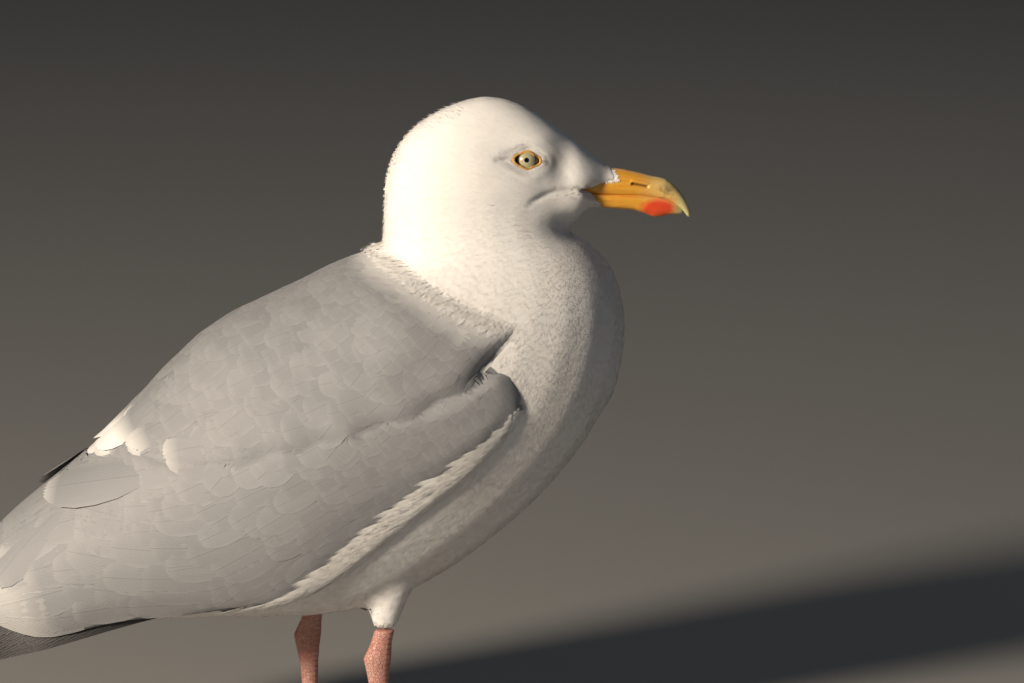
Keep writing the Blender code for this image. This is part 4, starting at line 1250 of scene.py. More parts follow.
    painted = add_node(tree, "GeometryNodeSetMaterial", Geometry=vanes, Material=given.outputs["Material"])
    tree.links.new(painted.outputs["Geometry"], result.inputs["Geometry"])
    return tree


def set_inputs(modifier, values):
    """Sets a node modifier's inputs by their names."""
    for item in modifier.node_group.interface.items_tree:
        if item.in_out == "INPUT" and item.name in values:
            modifier[item.identifier] = values[item.name]


def soften_shading(mesh, share):
    """Turns the vanes' shading towards that of the surface they lie on, as in a close coat of down."""
    under = np.empty(len(mesh.vertices) * 3)
    mesh.attributes["ground_normal"].data.foreach_get("vector", under)
    under = unit(under.reshape(-1, 3))
    mesh.attributes.remove(mesh.attributes["ground_normal"])
    shaded = unit(read(mesh, "normal") * (1.0 - share) + under * share)
    mesh.normals_split_custom_set_from_vertices(shaded.tolist())


def grow_plumage(name, roots, tree, softness, **values):
    """Runs the tree on the roots and keeps what it makes as a plain mesh piece."""
    piece = new_piece(name, roots)
    modifier = piece.modifiers.new("plumage", "NODES")
    modifier.node_group = tree
    set_inputs(modifier, {key.replace("_", " "): value for key, value in values.items()})
    keep_result(piece)
    mesh = piece.data
    for attribute in ("lie", "outward", "root_map", "coat", "tuft_length", "tuft_width", "tuft_depth",
                      "tuft_tilt"):
        if attribute in mesh.attributes:
            mesh.attributes.remove(mesh.attributes[attribute])
    soften_shading(mesh, softness)
    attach(piece, "root")
    return piece


down_vane = vane_mesh(
    "down vane", ((0.0, 0.10, 2), (0.28, 0.36, 3), (0.62, 0.48, 5)), (0.88, 1.0, 0.97, 0.84),
)
wisp_vane = vane_mesh(
    "wisp vane", ((0.0, 0.05, 2), (0.2, 0.3, 3), (0.5, 0.5, 5), (0.72, 0.46, 6)),
    (0.86, 0.97, 1.0, 0.95, 0.84),
)
TUFT_LENGTH = ((0.0, 2.2), (18.0, 3.2), (45.0, 5.2), (80.0, 8.0), (130.0, 11.0), (200.0, 13.0), (400.0, 14.0))
TUFT_SLENDER = ((0.0, 0.42), (45.0, 0.28), (130.0, 0.20), (400.0, 0.26))
COAT_TRACTS = (
    # name, reach from the bill it runs between, spacing of its roots, softness of its shading
    ("face_plumage", 0.0, 42.0, 0.60, 0.70),
    ("crown_plumage", 42.0, 78.0, 0.74, 0.80),
    ("neck_plumage", 78.0, 125.0, 0.90, 0.90),
    ("breast_plumage", 125.0, 185.0, 0.95, 0.89),
    ("flank_plumage", 185.0, 255.0, 1.00, 0.65),
    ("vent_plumage", 255.0, 500.0, 1.25, 0.55),
)


def joined_surface(name, pieces):
    """What the vanes are bedded on: the pieces' outer sides in one mesh."""
    work = bmesh.new()
    for piece in pieces:
        work.from_mesh(piece.data)
    return bpy.data.objects.new(name, mesh_of(name, work))


def packed_bodies(pieces):
    """One surface to cast rays on, made of finished pieces."""
    return cast_form(joined_surface("rays", pieces).data)


CLOAK_REACH = 0.014                 # what lies over the hide lies closer than this, in metres


def covered_by_cloak(points, headings):
    """1 where something of the cloak lies just over the hide, else 0."""
    bed_form = packed_bodies((back_shell, *wing_shells.values()))
    covered = np.zeros(len(points))
    for number, (point, heading) in enumerate(zip(points, headings)):
        direction = Vector(heading)
        start = Vector(point) + direction * 0.0005
        hits = (form.ray_cast(start, direction, CLOAK_REACH)[0] for form in (cloak_form, bed_form))
        covered[number] = float(any(hits))
    return covered


under = read(hide.data, "position")
covered = spread(hide_edges, covered_by_cloak(under, outward), 4)
own = millimetres(under)
bare = smooth_step(0.80 - covered, 0.0, 0.15)
near_cloak = spread(hide_edges, covered, 60)
greyed = np.where((reach < 200.0) & (own[:, 2] > 232.0), 0.12 * smooth_step(near_cloak, 0.10, 0.75), 0.0)
keep_values(hide.data, "greyed", greyed)
_, _, lid_reach = on_eye(own)
bare *= np.where(np.abs(own[:, 1]) > EYE_SIDE, smooth_step(lid_reach, 1.22, 1.32), 1.0)
by_bill = (own[:, 0] > BILL_BASE[0]) & (own[:, 2] > BILL_BASE[1])
bare *= np.where(by_bill, feather_edge_x(own[:, 2]) > own[:, 0], 1.0)
tuft_length = np.interp(reach, *zip(*TUFT_LENGTH))
tuft_length *= np.where(by_eye, 0.45 + 0.55 * smooth_step(lid_reach, 1.1, 2.8), 1.0)
on_thigh = smooth_step(96.0 - own[:, 2], 0.0, 10.0) * smooth_step(own[:, 0] + 75.0, 0.0, 10.0)
tuft_length *= 1.0 - 0.45 * on_thigh
slender = np.interp(reach, *zip(*TUFT_SLENDER))
outside = np.interp(reach, *zip(*COAT_DEPTH)) * np.where(by_eye, smooth_step(lid_reach, 1.1, 2.6), 1.0)
at_collar = smooth_step(near_cloak, 0.05, 0.55) * smooth_step(own[:, 2], 185.0, 205.0)
outside = np.maximum(outside, 0.3) * (1.0 - 0.6 * at_collar)

roots_base = hide.data.copy()
roots_base.attributes.remove(roots_base.attributes["tuft_tone"])
flat = np.empty(len(roots_base.loops) * 2)
roots_base.uv_layers["OFBake"].data.foreach_get("uv", flat)
root_map = roots_base.attributes.new("root_map", "FLOAT2", "CORNER")
root_map.data.foreach_set("vector", flat)
roots_base.uv_layers.remove(roots_base.uv_layers["OFBake"])
for name, values, kind in (
    ("lie", lie, "FLOAT_VECTOR"), ("tuft_length", tuft_length * MM, "FLOAT"),
    ("tuft_width", tuft_length * slender * MM, "FLOAT"), ("tuft_depth", outside * MM, "FLOAT"),
    ("coat", bare, "FLOAT"),
):
    keep_values(roots_base, name, values, kind)

scatter_plumage = plumage_tree("scattered plumage", True)
place_plumage = plumage_tree("placed plumage", False)
ground = joined_surface("ground for the plumage", (hide, back_shell, *wing_shells.values()))
collar_ground = joined_surface("ground before the wings", (hide, back_shell))
for number, (name, start, end, spacing, softness) in enumerate(COAT_TRACTS):
    roots = roots_base.copy()
    here = bare * (reach >= start) * (reach < end)
    roots.attributes["coat"].data.foreach_set("value", here)
    tract = grow_plumage(name, roots, scatter_plumage, softness, Surface=collar_ground, Vane=down_vane,
                         Spacing=spacing * MM, Seed=11 + number, Turn=math.radians(6.0), Size_Range=0.18,
                         Root_Height=0.82, Camber=0.05 * MM, Material=white)


def height_of_wings(points, headings):
    """How far over the hide the wings' outer side lies, in metres, or 0 where no wing does."""
    wing_form = packed_bodies(wing_shells.values())
    heights = np.zeros(len(points))
    for number, (point, heading) in enumerate(zip(points, headings)):
        direction = Vector(heading)
        hit = wing_form.ray_cast(Vector(point) + direction * CLOAK_REACH, -direction, CLOAK_REACH - 0.0005)
        if hit[0]:
            heights[number] = CLOAK_REACH - hit[3]
    return heights


# The flank's feathers are puffed up to the wing's outer side where they close over its lower edge
heights = height_of_wings(under, outward)
near_wing = spread(hide_edges, np.sign(heights), 40)
gap = spread(hide_edges, heights, 40) / np.maximum(near_wing, 0.001)
puffed = np.where(heights > 0.0, heights + 0.0002, gap * smooth_step(near_wing, 0.02, 0.5))
flank = roots_base.copy()
move_to(flank, under + outward * spread(hide_edges, puffed, 5)[:, None])
flank_ground = bpy.data.objects.new("puffed flank", flank)

# Loose feather ends that stand a little out of the coat: down the crown and nape, and over the wing's edge
lancet_vane = vane_mesh(
    "lancet vane", ((0.0, 0.12, 2), (0.3, 0.5, 3), (0.7, 0.42, 3), (0.88, 0.2, 2)), (1.0,),
)
along_flank = (own[:, 2] < 196.0) & (own[:, 0] > -80.0) & (np.abs(own[:, 1]) > 20.0)
below_wing, _ = beside_path(own, wing_beds[-1.0].points[::8, -1])
on_head = (own[:, 0] < 34.0) & (own[:, 2] > 262.0) & (reach > 30.0) & (np.abs(own[:, 1]) < 13.0)
LOOSE_ENDS = (
    # name, where it grows, spacing, length, width, height of the tips, vane
    ("nape_ends", on_head, 2.6, 5.5, 1.0, 3.0, lancet_vane),
    ("flank_ends", (near_cloak < 0.80) & (below_wing < 27.0) & along_flank, 1.35, 18.0, 2.2, 2.6, wisp_vane),
)
flank_lie = unit(lie + unit(slope(hide.data, near_cloak)) * 0.34)
for number, (name, here, spacing, long, wide, high, vane) in enumerate(LOOSE_ENDS):
    roots = (flank if vane == wisp_vane else roots_base).copy()
    size = smooth_step(reach, 30.0, 80.0) * 0.4 + 0.6
    if vane == wisp_vane:
        size = 1.0 - 0.3 * smooth_step(below_wing, 2.0, 25.0)
        size *= 1.0 - 0.7 * smooth_step(own[:, 2], 168.0, 196.0)
        high = high * (1.0 - 0.5 * smooth_step(below_wing, 3.0, 25.0))
    for attribute, values in (("coat", here * 1.0), ("tuft_length", long * MM * size),
                              ("tuft_width", np.full(len(own), wide * MM)), ("tuft_depth", high * MM * size)):
        roots.attributes[attribute].data.foreach_set("value", values)
    if vane == wisp_vane:
        roots.attributes["lie"].data.foreach_set("vector", flank_lie.reshape(-1))
    lain_on = flank_ground if vane == wisp_vane else ground
    tract = grow_plumage(name, roots, scatter_plumage, 0.45, Surface=lain_on, Vane=vane,
                         Spacing=spacing * MM, Seed=31 + number, Turn=math.radians(10.0), Size_Range=0.2,
                         Root_Height=0.0, Camber=0.1 * MM, Material=white)

# Fringe of tiny feathers that reach forward over the edge of the horn
FRINGE_LINES = (
    # x, z along the feathers' edge on the bill's side, and which way the fringe points there
    (((109.0, 299.3), (98.9, 298.4), (88.6, 296.8)), (0.62, -0.78)),
    (((105.0, 306.5), (107.6, 302.8), (109.0, 299.3)), (0.95, -0.3)),
    (((88.8, 294.6), (95.0, 290.8), (99.0, 287.6), (102.0, 284.0)), (0.9, -0.43)),
)
FRINGE_SPACING = 0.6
FRINGE_ROWS = (0.0, 1.1)            # how far behind the edge each row is rooted
FRINGE_VANE = (("tuft_length", 1.9), ("tuft_width", 0.7), ("tuft_depth", 0.4), ("tuft_tilt", 0.0))


def add_bill_fringe():
    """Short vanes in two rows, rooted behind the edge and pointing forward and down over the horn."""
    face_form = packed_bodies((hide, *bill_halves))
    chance = np.random.default_rng(17)
    places, normals, headings = [], [], []
    for line, (ahead, up) in FRINGE_LINES:
        line = np.array(line)
        lengths = np.linalg.norm(np.diff(line, axis=0), axis=1)
        ways = np.concatenate(((0.0,), np.cumsum(lengths)))
        for way in np.arange(0.0, ways[-1], FRINGE_SPACING):
            for row in FRINGE_ROWS:
                there = way + chance.normal(0.0, 0.12)
                x = np.interp(there, ways, line[:, 0]) - ahead * (row + 1.0)
                z = np.interp(there, ways, line[:, 1]) - up * (row + 1.0)
                for _, side in SIDES:
                    hit = face_form.ray_cast(Vector(metres((x, side * 30.0, z))), Vector((0.0, -side, 0.0)))
                    if hit[0]:
                        places.append(hit[0])
                        normals.append(hit[1])
                        headings.append((ahead, 0.0, up + chance.normal(0.0, 0.12)))
    normals = np.array(normals)
    sides = np.sign(np.array(places)[:, 1])
    normals *= np.where(normals[:, 1] * sides < 0.0, -1.0, 1.0)[:, None]
    mesh = bpy.data.meshes.new("bill_fringe")
    mesh.from_pydata([tuple(place) for place in places], [], [])
    at = millimetres(places)
    along_map = 0.5 + sides * (0.05 + (at[:, 0] - 80.0) * 0.012)
    on_map = np.stack((along_map, (at[:, 2] - 270.0) * 0.02, 0.0 * sides), -1)
    for name, vectors in (("lie", headings), ("outward", normals), ("root_map", on_map)):
        keep_values(mesh, name, vectors, "FLOAT_VECTOR")
    for name, size in FRINGE_VANE:
        keep_values(mesh, name, np.full(len(places), size * MM))
    bill_ground = joined_surface("bill ground", (hide, *bill_halves))
    piece = grow_plumage("bill_fringe", mesh, place_plumage, 0.3, Surface=bill_ground, Vane=lancet_vane,
                         Seed=5, Turn=math.radians(14.0), Size_Range=0.25, Root_Height=0.1,
                         Camber=0.04 * MM, Material=white)


add_bill_fringe()

# ---------------------------------------------------------------------------
# Grey feathers of the mantle, scapulars and wings: broad rounded vanes in staggered rows, front over
# rear and upper over lower, small on the shoulders and long on the tertials, with white ends behind.
# ---------------------------------------------------------------------------
SECTION_SPACING = 25.0              # millimetres from one cloak section to the next
BACK_SIZES = ((0.0, 12.0, 9.0), (1.0, 17.0, 13.0), (3.0, 26.0, 19.0), (5.0, 32.0, 22.0), (7.2, 34.0, 22.0))
WING_SIZES = (
    (0.0, 10.0, 7.5), (1.6, 13.0, 9.5), (2.6, 20.0, 12.5), (4.0, 32.0, 15.0), (5.5, 44.0, 18.0),
    (7.5, 56.0, 24.0), (11.0, 58.0, 26.0),
)
SCAPULAR_WHITE_FROM = 6.2
TERTIAL_WHITE_FROM = ((0.0, 9.9), (0.5, 9.5), (1.0, 8.8))
FRONT_FADE = 17.0                   # over how many millimetres the neck's white turns to grey
TIPS_OVERHANG = 9.0                 # how far the last feathers' ends hang free past the wing's bed
ROW_EXPOSURE = 0.34
COLUMN_EXPOSURE = 0.46

round_vane = vane_mesh("round vane", (
    (0.0, 0.08, 3), (0.12, 0.26, 5), (0.30, 0.41, 7), (0.50, 0.49, 7), (0.68, 0.50, 7),
    (0.82, 0.44, 7), (0.92, 0.33, 7), (0.975, 0.20, 7),
), (0.99, 0.998, 1.004, 1.004, 0.998, 0.99))


def size_at(sizes, s):
    where, lengths, widths = zip(*sizes)
    return float(np.interp(s, where, lengths)), float(np.interp(s, where, widths))


def feather_rows(bed, last_s, sizes, seed):
    """Shares along and across a bed for feathers in rows; rows and columns close up with the sizes."""
    chance = np.random.default_rng(seed)
    spots = []
    across_arc = along_grid(bed.points, 1)
    s = -0.12
    number = 0
    while s < last_s:
        length, width = size_at(sizes, s)
        row = int(np.clip(s / last_s, 0.0, 1.0) * (bed.points.shape[0] - 1))
        full = across_arc[row, -1]
        count = max(2, round(full / (width * COLUMN_EXPOSURE)))
        for k in range(count + 1):
            share = (k + 0.5 * (number % 2) + chance.normal(0.0, 0.12)) / count
            if 0.0 <= share <= 1.0:
                spots.append((s / last_s + chance.normal(0.0, 0.012 * length / 25.0), share))
        s += length * ROW_EXPOSURE / SECTION_SPACING
        number += 1
    spots = np.array(spots)
    return np.clip(spots[:, 0], 0.0, 1.0), np.clip(spots[:, 1], 0.0, 1.0)


def feather_points(name, bed, along, across, values):
    """Loose points on a bed that carry what the plumage tree asks for."""
    places, normals, back, sideways = bed.at(along, across)
    fan = values["fan"][:, None]
    headings = unit(back + sideways * fan)
    mesh = bpy.data.meshes.new(name)
    mesh.from_pydata(metres(places).tolist(), [], [])
    on_map = np.stack((0.03 + 0.9 * along, 0.03 + 0.9 * across, 0.0 * along), -1)
    for key, vectors in (("lie", headings), ("outward", normals), ("root_map", on_map)):
        keep_values(mesh, key, vectors, "FLOAT_VECTOR")
    for key in ("tuft_length", "tuft_width", "tuft_depth", "tuft_tilt"):
        keep_values(mesh, key, values[key] * MM)
    keep_values(mesh, "pale", values["pale"])
    keep_values(mesh, "whiteness", values["whiteness"])
    keep_values(mesh, "frontal", values.get("frontal", 0.0 * values["pale"]))
    keep_values(mesh, "frontal_fall", values["tuft_length"] / FRONT_FADE)
    return mesh


def white_share(s, length, white_from):
    """How much of a feather, from its tip, lies past the line where the plumage turns white."""
    span = length / SECTION_SPACING
    share = (s + span - white_from) / span
    return np.clip(share, -1.0, 1.2)


def add_back_feathers():
    along, across = feather_rows(back, SCAPULARS_END, BACK_SIZES, 5)
    s = along * SCAPULARS_END
    share = across * 2.0 - 1.0
    length, width = np.array([size_at(BACK_SIZES, value) for value in s]).T
    room = (SCAPULARS_END - s) * SECTION_SPACING + 6.0 - 12.0 * np.abs(share)
    keep = room > 0.8 * length
    along, across, s, share, length, width = (v[keep] for v in (along, across, s, share, length, width))
    rows, columns = back.points.shape[:2]
    row = (along * (rows - 1)).astype(int)
    column = (across * (columns - 1)).astype(int)
    from_front = along_grid(back.points, 0)[row, column]
    values = {
        "fan": 0.28 * share * np.abs(share), "tuft_length": length, "tuft_width": width,
        "tuft_depth": np.full(len(s), FEATHER_BED - 0.3),
        "tuft_tilt": 0.07 * np.sign(share),
        "pale": white_share(s, length, SCAPULAR_WHITE_FROM + 1.1 * np.abs(share)),
        "whiteness": 0.9 - 0.7 * np.abs(share), "frontal": 1.0 - (from_front - 3.0) / FRONT_FADE,
    }
    roots = feather_points("back_feathers", back, along, across, values)
    piece = grow_plumage("back_feathers", roots, place_plumage, 0.6, Surface=ground, Vane=round_vane,
                         Seed=3, Turn=math.radians(7.0), Size_Range=0.1, Root_Height=0.2,
                         Camber=0.03 * MM, Material=grey)


def carried_on(bed):
    """A sheet that carries a bed on past its rear end, for feather ends that hang free there."""
    onward = unit(bed.points[-1] - bed.points[-6])
    points = bed.points[-1] + onward * np.linspace(0.0, TIPS_OVERHANG + 6.0, 5)[:, None, None]
    rows, columns = points.shape[:2]
    index = np.arange(rows * columns).reshape(rows, columns)
    corners = np.stack((index[:-1, :-1], index[:-1, 1:], index[1:, 1:], index[1:, :-1]), -1).reshape(-1, 4)
    mesh = bpy.data.meshes.new("carried on")
    mesh.from_pydata(metres(points.reshape(-1, 3)).tolist(), [], corners.tolist())
    keep_values(mesh, "outward", np.tile(bed.normals[-1], (rows, 1)), "FLOAT_VECTOR")
    return bpy.data.objects.new("carried on", mesh)


def add_wing_feathers(side_name, side):
    bed = wing_beds[side]
    along, across = feather_rows(bed, CLOAK_END, WING_SIZES, 21)
    s = along * CLOAK_END
    top = wing_top(s)
    v = top + (1.0 - top) * across
    length, width = np.array([size_at(WING_SIZES, value) for value in s]).T
    room = (CLOAK_END - s) * SECTION_SPACING + TIPS_OVERHANG
    keep = (room > 0.5 * length) & (across >= np.interp(s, (1.3, 2.2, 6.9, 7.1), (0.30, 0.07, 0.07, 0.0)))
    length = np.minimum(length, room / 1.08)
    along, across, s, v, length, width = (values[keep] for values in (along, across, s, v, length, width))
    values = {
        "fan": np.full(len(s), -0.02), "tuft_length": length, "tuft_width": width,
        "tuft_depth": np.full(len(s), FEATHER_BED - 0.4), "tuft_tilt": 0.06 * side * np.ones(len(s)),
        "whiteness": np.full(len(s), 0.12),
        "pale": white_share(s, length, np.interp(v, *zip(*TERTIAL_WHITE_FROM))),
    }
    name = f"wing_feathers_{side_name}"
    roots = feather_points(name, bed, along, across, values)
    piece = grow_plumage(name, roots, place_plumage, 0.6, Surface=wing_ground, Vane=round_vane, Seed=21,
                         Turn=math.radians(4.0), Size_Range=0.08, Root_Height=0.2, Camber=0.03 * MM,
                         Material=grey)


# The rounded white ends of the last scapulars, and the long tertials that lie raised over the wing
SCAPULAR_ENDS = (
    # s of the root, share of the way from ridge to edge, length, width, height, white from its tip, how white
    (5.60, 0.24, 42.0, 27.0, 2.2, 0.56, 1.0), (5.30, 0.56, 36.0, 26.0, 1.1, 0.40, 0.4),
    (4.90, 0.84, 30.0, 24.0, 1.1, 0.28, 0.25),
)
RIDGE_TERTIALS = (
    # s of the root, share from ridge to lower edge, length, width, height, white from its tip, how white
    (7.9, 0.26, 60.0, 20.0, 1.2, 0.06, 0.5), (6.45, 0.39, 60.0, 25.0, 4.0, 0.14, 0.6),
)


def add_raised_feathers(name, bed, last_s, listed, side, fan, seed, across_of, surface):
    s, v, length, width, height, white_end, whiteness = np.array(listed).T
    values = {
        "fan": np.full(len(s), fan), "tuft_length": length, "tuft_width": width, "tuft_depth": height,
        "tuft_tilt": np.full(len(s), 0.35 * side), "pale": white_end, "whiteness": whiteness,
    }
    roots = feather_points(name, bed, s / last_s, across_of(s, v), values)
    piece = grow_plumage(name, roots, place_plumage, 0.35, Surface=surface, Vane=round_vane, Seed=seed,
                         Turn=math.radians(3.0), Size_Range=0.04, Root_Height=0.0, Camber=1.1 * MM,
                         Material=grey)


wing_ground = joined_surface("ground under the scapulars",
                             (*wing_shells.values(), *(carried_on(wing_beds[side]) for _, side in SIDES)))
add_back_feathers()
for side_name, side in SIDES:
    add_wing_feathers(side_name, side)
    add_raised_feathers(f"scapular_ends_{side_name}", back, SCAPULARS_END, SCAPULAR_ENDS, side,
                        0.06 * side, 41, lambda s, v: (side * v + 1.0) / 2.0, ground)
    add_raised_feathers(f"tertials_{side_name}_feathers", wing_beds[side], CLOAK_END, RIDGE_TERTIALS, side,
                        0.3, 43, lambda s, v: (v - wing_top(s)) / (1.0 - wing_top(s)), wing_ground)

# ---------------------------------------------------------------------------
# Rump and uppertail coverts: short white feathers on a firm bed that falls from under the tertials to
# the tail's root, between the folded wing tips.
# ---------------------------------------------------------------------------
RUMP_SPAN = (-200.0, -238.0)        # from where to where it runs along the bird
RUMP_TOP = (120.0, 69.0)            # how high its ridge is at either end
RUMP_ROWS = (0.0, 0.11, 0.22, 0.33, 0.44, 0.55, 0.66)


def rump_bed():
    """A narrow saddle that fills the hollow the wings leave over the tail."""
    along = np.linspace(0.0, 1.0, 40)[:, None]
    share = np.linspace(-1.0, 1.0, 25)[None, :]
    half = 16.0 - 7.0 * smooth_step(along, 0.0, 0.5) - 2.0 * along + 0.0 * share
    forward = RUMP_SPAN[0] + (RUMP_SPAN[1] - RUMP_SPAN[0]) * along + 0.0 * share
    height = RUMP_TOP[0] + (RUMP_TOP[1] - RUMP_TOP[0]) * along - 11.0 * share ** 2 * (1.0 - 0.7 * along)
    return Bed(np.stack((forward, half * share, height), -1), -1.0)


def add_rump():
    bed = rump_bed()
    saddle = bed.piece("rump_bed", BED_THICKNESS)
    saddle.data.materials.append(white)
    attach(saddle, "root")
    chance = np.random.default_rng(61)
    along, across = np.array([
        (row + chance.normal(0.0, 0.015), (k + 0.5 + 0.5 * (number % 2)) / 5.5)
        for number, row in enumerate(RUMP_ROWS) for k in range(5)
    ]).clip(0.0, 1.0).T
    even = np.ones(len(along))
    values = {
        "fan": 0.3 * (across - 0.5), "tuft_length": 15.0 * even, "tuft_width": 8.5 * even,
        "tuft_depth": 0.8 * even, "tuft_tilt": 0.0 * even, "pale": 0.0 * even, "whiteness": 0.0 * even,
    }
    roots = feather_points("uppertail_coverts", bed, along, across, values)
    coverts = grow_plumage("uppertail_coverts", roots, place_plumage, 0.5, Surface=saddle,
                           Vane=round_vane, Seed=51, Turn=math.radians(7.0), Size_Range=0.12,
                           Root_Height=0.2, Camber=0.3 * MM, Material=white)


add_rump()

# ---------------------------------------------------------------------------
# Long feathers: the black primaries of the folded wing tips with their white ends, and the white tail
# fan. Each is a stiff vane on a shaft, set side by side and overlapping like a closed fan.
# ---------------------------------------------------------------------------
PRIMARY_LINES = (
    # lower edge x, y, z, upper edge x, y, z: the folded wing tip, seen from its side
    (-119.0, 36.4, 91.6, -117.5, 37.9, 97.0),
    (-135.0, 36.2, 88.2, -134.0, 37.6, 99.5),
    (-150.0, 35.4, 84.6, -149.5, 34.2, 102.5),
    (-180.0, 34.4, 77.0, -181.0, 21.0, 103.0),
    (-207.0, 30.3, 71.0, -209.0, 9.0, 91.0),
    (-237.0, 24.7, 64.6, -240.0, 5.9, 80.0),
    (-267.0, 18.6, 58.5, -270.0, 5.2, 68.5),
    (-292.0, 13.0, 53.8, -293.0, 6.5, 58.0),
    (-307.0, 9.4, 51.0, -307.0, 7.9, 52.2),
)
# Each primary: where its tip ends along the wing tip's length, and its share of the height there
PRIMARY_TIPS = ((1.0, 0.0, 0.75), (0.935, 0.10, 0.9), (0.86, 0.2, 1.0), (0.775, 0.3, 1.0), (0.68, 0.42, 1.0))
PRIMARY_WHITE = (0.016, 0.05)       # white at the tip, and where the black begins, in shares of the length
TAIL_FEATHERS = 12
TAIL_ROOT = (-190.0, 79.0)
TAIL_TIP_X = -250.0
TAIL_FAN = 23.5
VANE_STEPS = (40, 12)
VANE_THICKNESS = 0.35
TAIL_STEPS = (24, 10)
TAIL_THICKNESS = 0.5


def blade(name, place_at, steps, thickness):
    """A closed thin vane. place_at gives its middle surface and its outward heading for shares of the
    way along, 0 to 1, and across, -1 to 1."""
    rows, columns = steps
    along, across = np.meshgrid(np.linspace(0, 1, rows + 1), np.linspace(-1, 1, columns + 1), indexing="ij")
    middle, outward = place_at(along, across)
    ridge = thickness * (0.5 + 0.9 * np.exp(-((across / 0.09) ** 2)) * (1.0 - along))[..., None]
    taper = np.sqrt(np.clip(1.0 - across ** 2, 0.02, 1.0))[..., None]
    upper = middle + outward * ridge * taper
    lower = middle - outward * ridge * taper * 0.6
    mesh = bpy.data.meshes.new(name)
    points = np.concatenate((upper.reshape(-1, 3), lower.reshape(-1, 3)))
    mesh.from_pydata(metres(points).tolist(), [], shell_faces(rows + 1, columns + 1))
    shares = np.stack((across.reshape(-1), along.reshape(-1), 0.0 * along.reshape(-1)), -1)
    keep_values(mesh, "vane", np.concatenate((shares, shares)), "FLOAT_VECTOR")
    return mesh


def joined_blades(name, meshes):
    """Blades as one piece, each with a tone of its own, laid out flat together as the map OFBake."""
    work = bmesh.new()
    for number, mesh in enumerate(meshes):
        keep_values(mesh, "tuft_tone", np.full(len(mesh.vertices), (number * 0.37) % 1.0))
        work.from_mesh(mesh)
    bmesh.ops.recalc_face_normals(work, faces=work.faces)
    mesh = mesh_of(name, work)
    mesh.shade_smooth()
    mesh.set_sharp_from_angle(angle=math.radians(60.0))
    piece = new_piece(name, mesh)
    unwrap(piece)
    return piece


def primary_place(side, number, tip, low_share, high_share):
    lines = np.array(PRIMARY_LINES)

    def place_at(along, across):
        t = along * tip * (len(lines) - 1)
        first = np.minimum(t.astype(int), len(lines) - 2)
        section = lines[first] + (lines[first + 1] - lines[first]) * (t - first)[..., None]
        low, high = section[..., :3], section[..., 3:]
        width = high_share - low_share
        rounding = np.sqrt(1.0 - np.clip((along - 0.86) / 0.14, 0.0, 1.0) ** 2) * 0.98 + 0.02
        middle_share = low_share + 0.46 * width
        share = middle_share + 0.5 * width * across * rounding
        lift = 0.42 * number + 0.35 * (1.0 - across ** 2)
        point = low + (high - low) * share[..., None]
        outward = unit(np.cross(high - low, np.array((1.0, 0.0, 0.0))))
        outward = outward * np.where(outward[..., 1:2] < 0.0, -1.0, 1.0)
        point = point + outward * (lift - 0.9)[..., None]
        point[..., 1] *= side
        outward[..., 1] *= side
        return point, outward

    return place_at


def tail_place(number):
    """The middle pair lies on top; the others fan out under it, drooping to the sides."""
    turn = 2.0 * number / (TAIL_FEATHERS - 1) - 1.0
    order = abs(turn)

    def place_at(along, across):
        length = (TAIL_TIP_X - TAIL_ROOT[0]) * (1.0 - 0.075 * order ** 2)
        x = TAIL_ROOT[0] + length * along
        spine = turn * (8.0 + (TAIL_FAN - 8.0) * along)
        half = 4.0 + 4.6 * np.sqrt(np.clip(along, 0.0, 1.0))
        half = half * (np.sqrt(1.0 - np.clip((along - 0.88) / 0.12, 0.0, 1.0) ** 2) * 0.97 + 0.03)
        y = spine + half * across
        z = TAIL_ROOT[1] + 0.9 - 17.0 * along + 2.0 * along ** 2 - 2.3 * (y / 25.0) ** 2 - 0.825 * order
        middle = np.stack((x, y, z), -1)
        outward = np.zeros_like(middle)
        outward[..., 2] = 1.0
        return middle, outward

    return place_at


def flight_feather(name, dark):
    """Stiff vane with slanting barbs and a pale shaft: black with a white tip, or white throughout."""
    material, tree, shader = new_material(name)
    place = own_place(tree)
    along, across, barbs = barbed_vane(tree, 130.0, 26.0, 2.0)
    clouds = noise(tree, place, 60.0, 3.0)
    fine = noise(tree, place, 1200.0, 2.0)
    if dark:
        colour = mixed(tree, clouds, (0.010, 0.010, 0.011, 1.0), (0.030, 0.028, 0.028, 1.0))
        ragged = calc(tree, "MULTIPLY_ADD", calc(tree, "SUBTRACT", clouds, 0.5), 0.03, along)
        tip = ramp(tree, ragged, (1.0 - PRIMARY_WHITE[1], 0.0), (1.0 - PRIMARY_WHITE[0], 1.0))
        colour = mixed(tree, tip, colour, WHITE_FEATHER)
    else:
        colour = mixed(tree, calc(tree, "MULTIPLY", clouds, 0.5), WHITE_FEATHER, CREAM_FEATHER)
    shaft = ramp(tree, across, (0.02, 1.0), (0.06, 0.0))
    colour = mixed(tree, calc(tree, "MULTIPLY", shaft, 0.6), colour,
                   (0.05, 0.04, 0.035, 1.0) if dark else (0.74, 0.72, 0.66, 1.0))
    relief = calc(tree, "MULTIPLY_ADD", barbs, 0.35, fine)
    finish_surface(tree, shader, colour, relief, 0.35, 0.0003,
                   calc(tree, "MULTIPLY_ADD", fine, 0.2, 0.42 if dark else 0.55))
    return material


black = flight_feather("black primaries", True)
for side_name, side in SIDES:
    blades = [
        blade(f"primary {number}", primary_place(side, number, *shape), VANE_STEPS, VANE_THICKNESS)
        for number, shape in enumerate(PRIMARY_TIPS)
    ]
    wing_tip = joined_blades(f"primary_feathers_{side_name}", blades)
    wing_tip.data.materials.append(black)
    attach(wing_tip, "root")
    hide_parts(f"primaries_{side_name}")

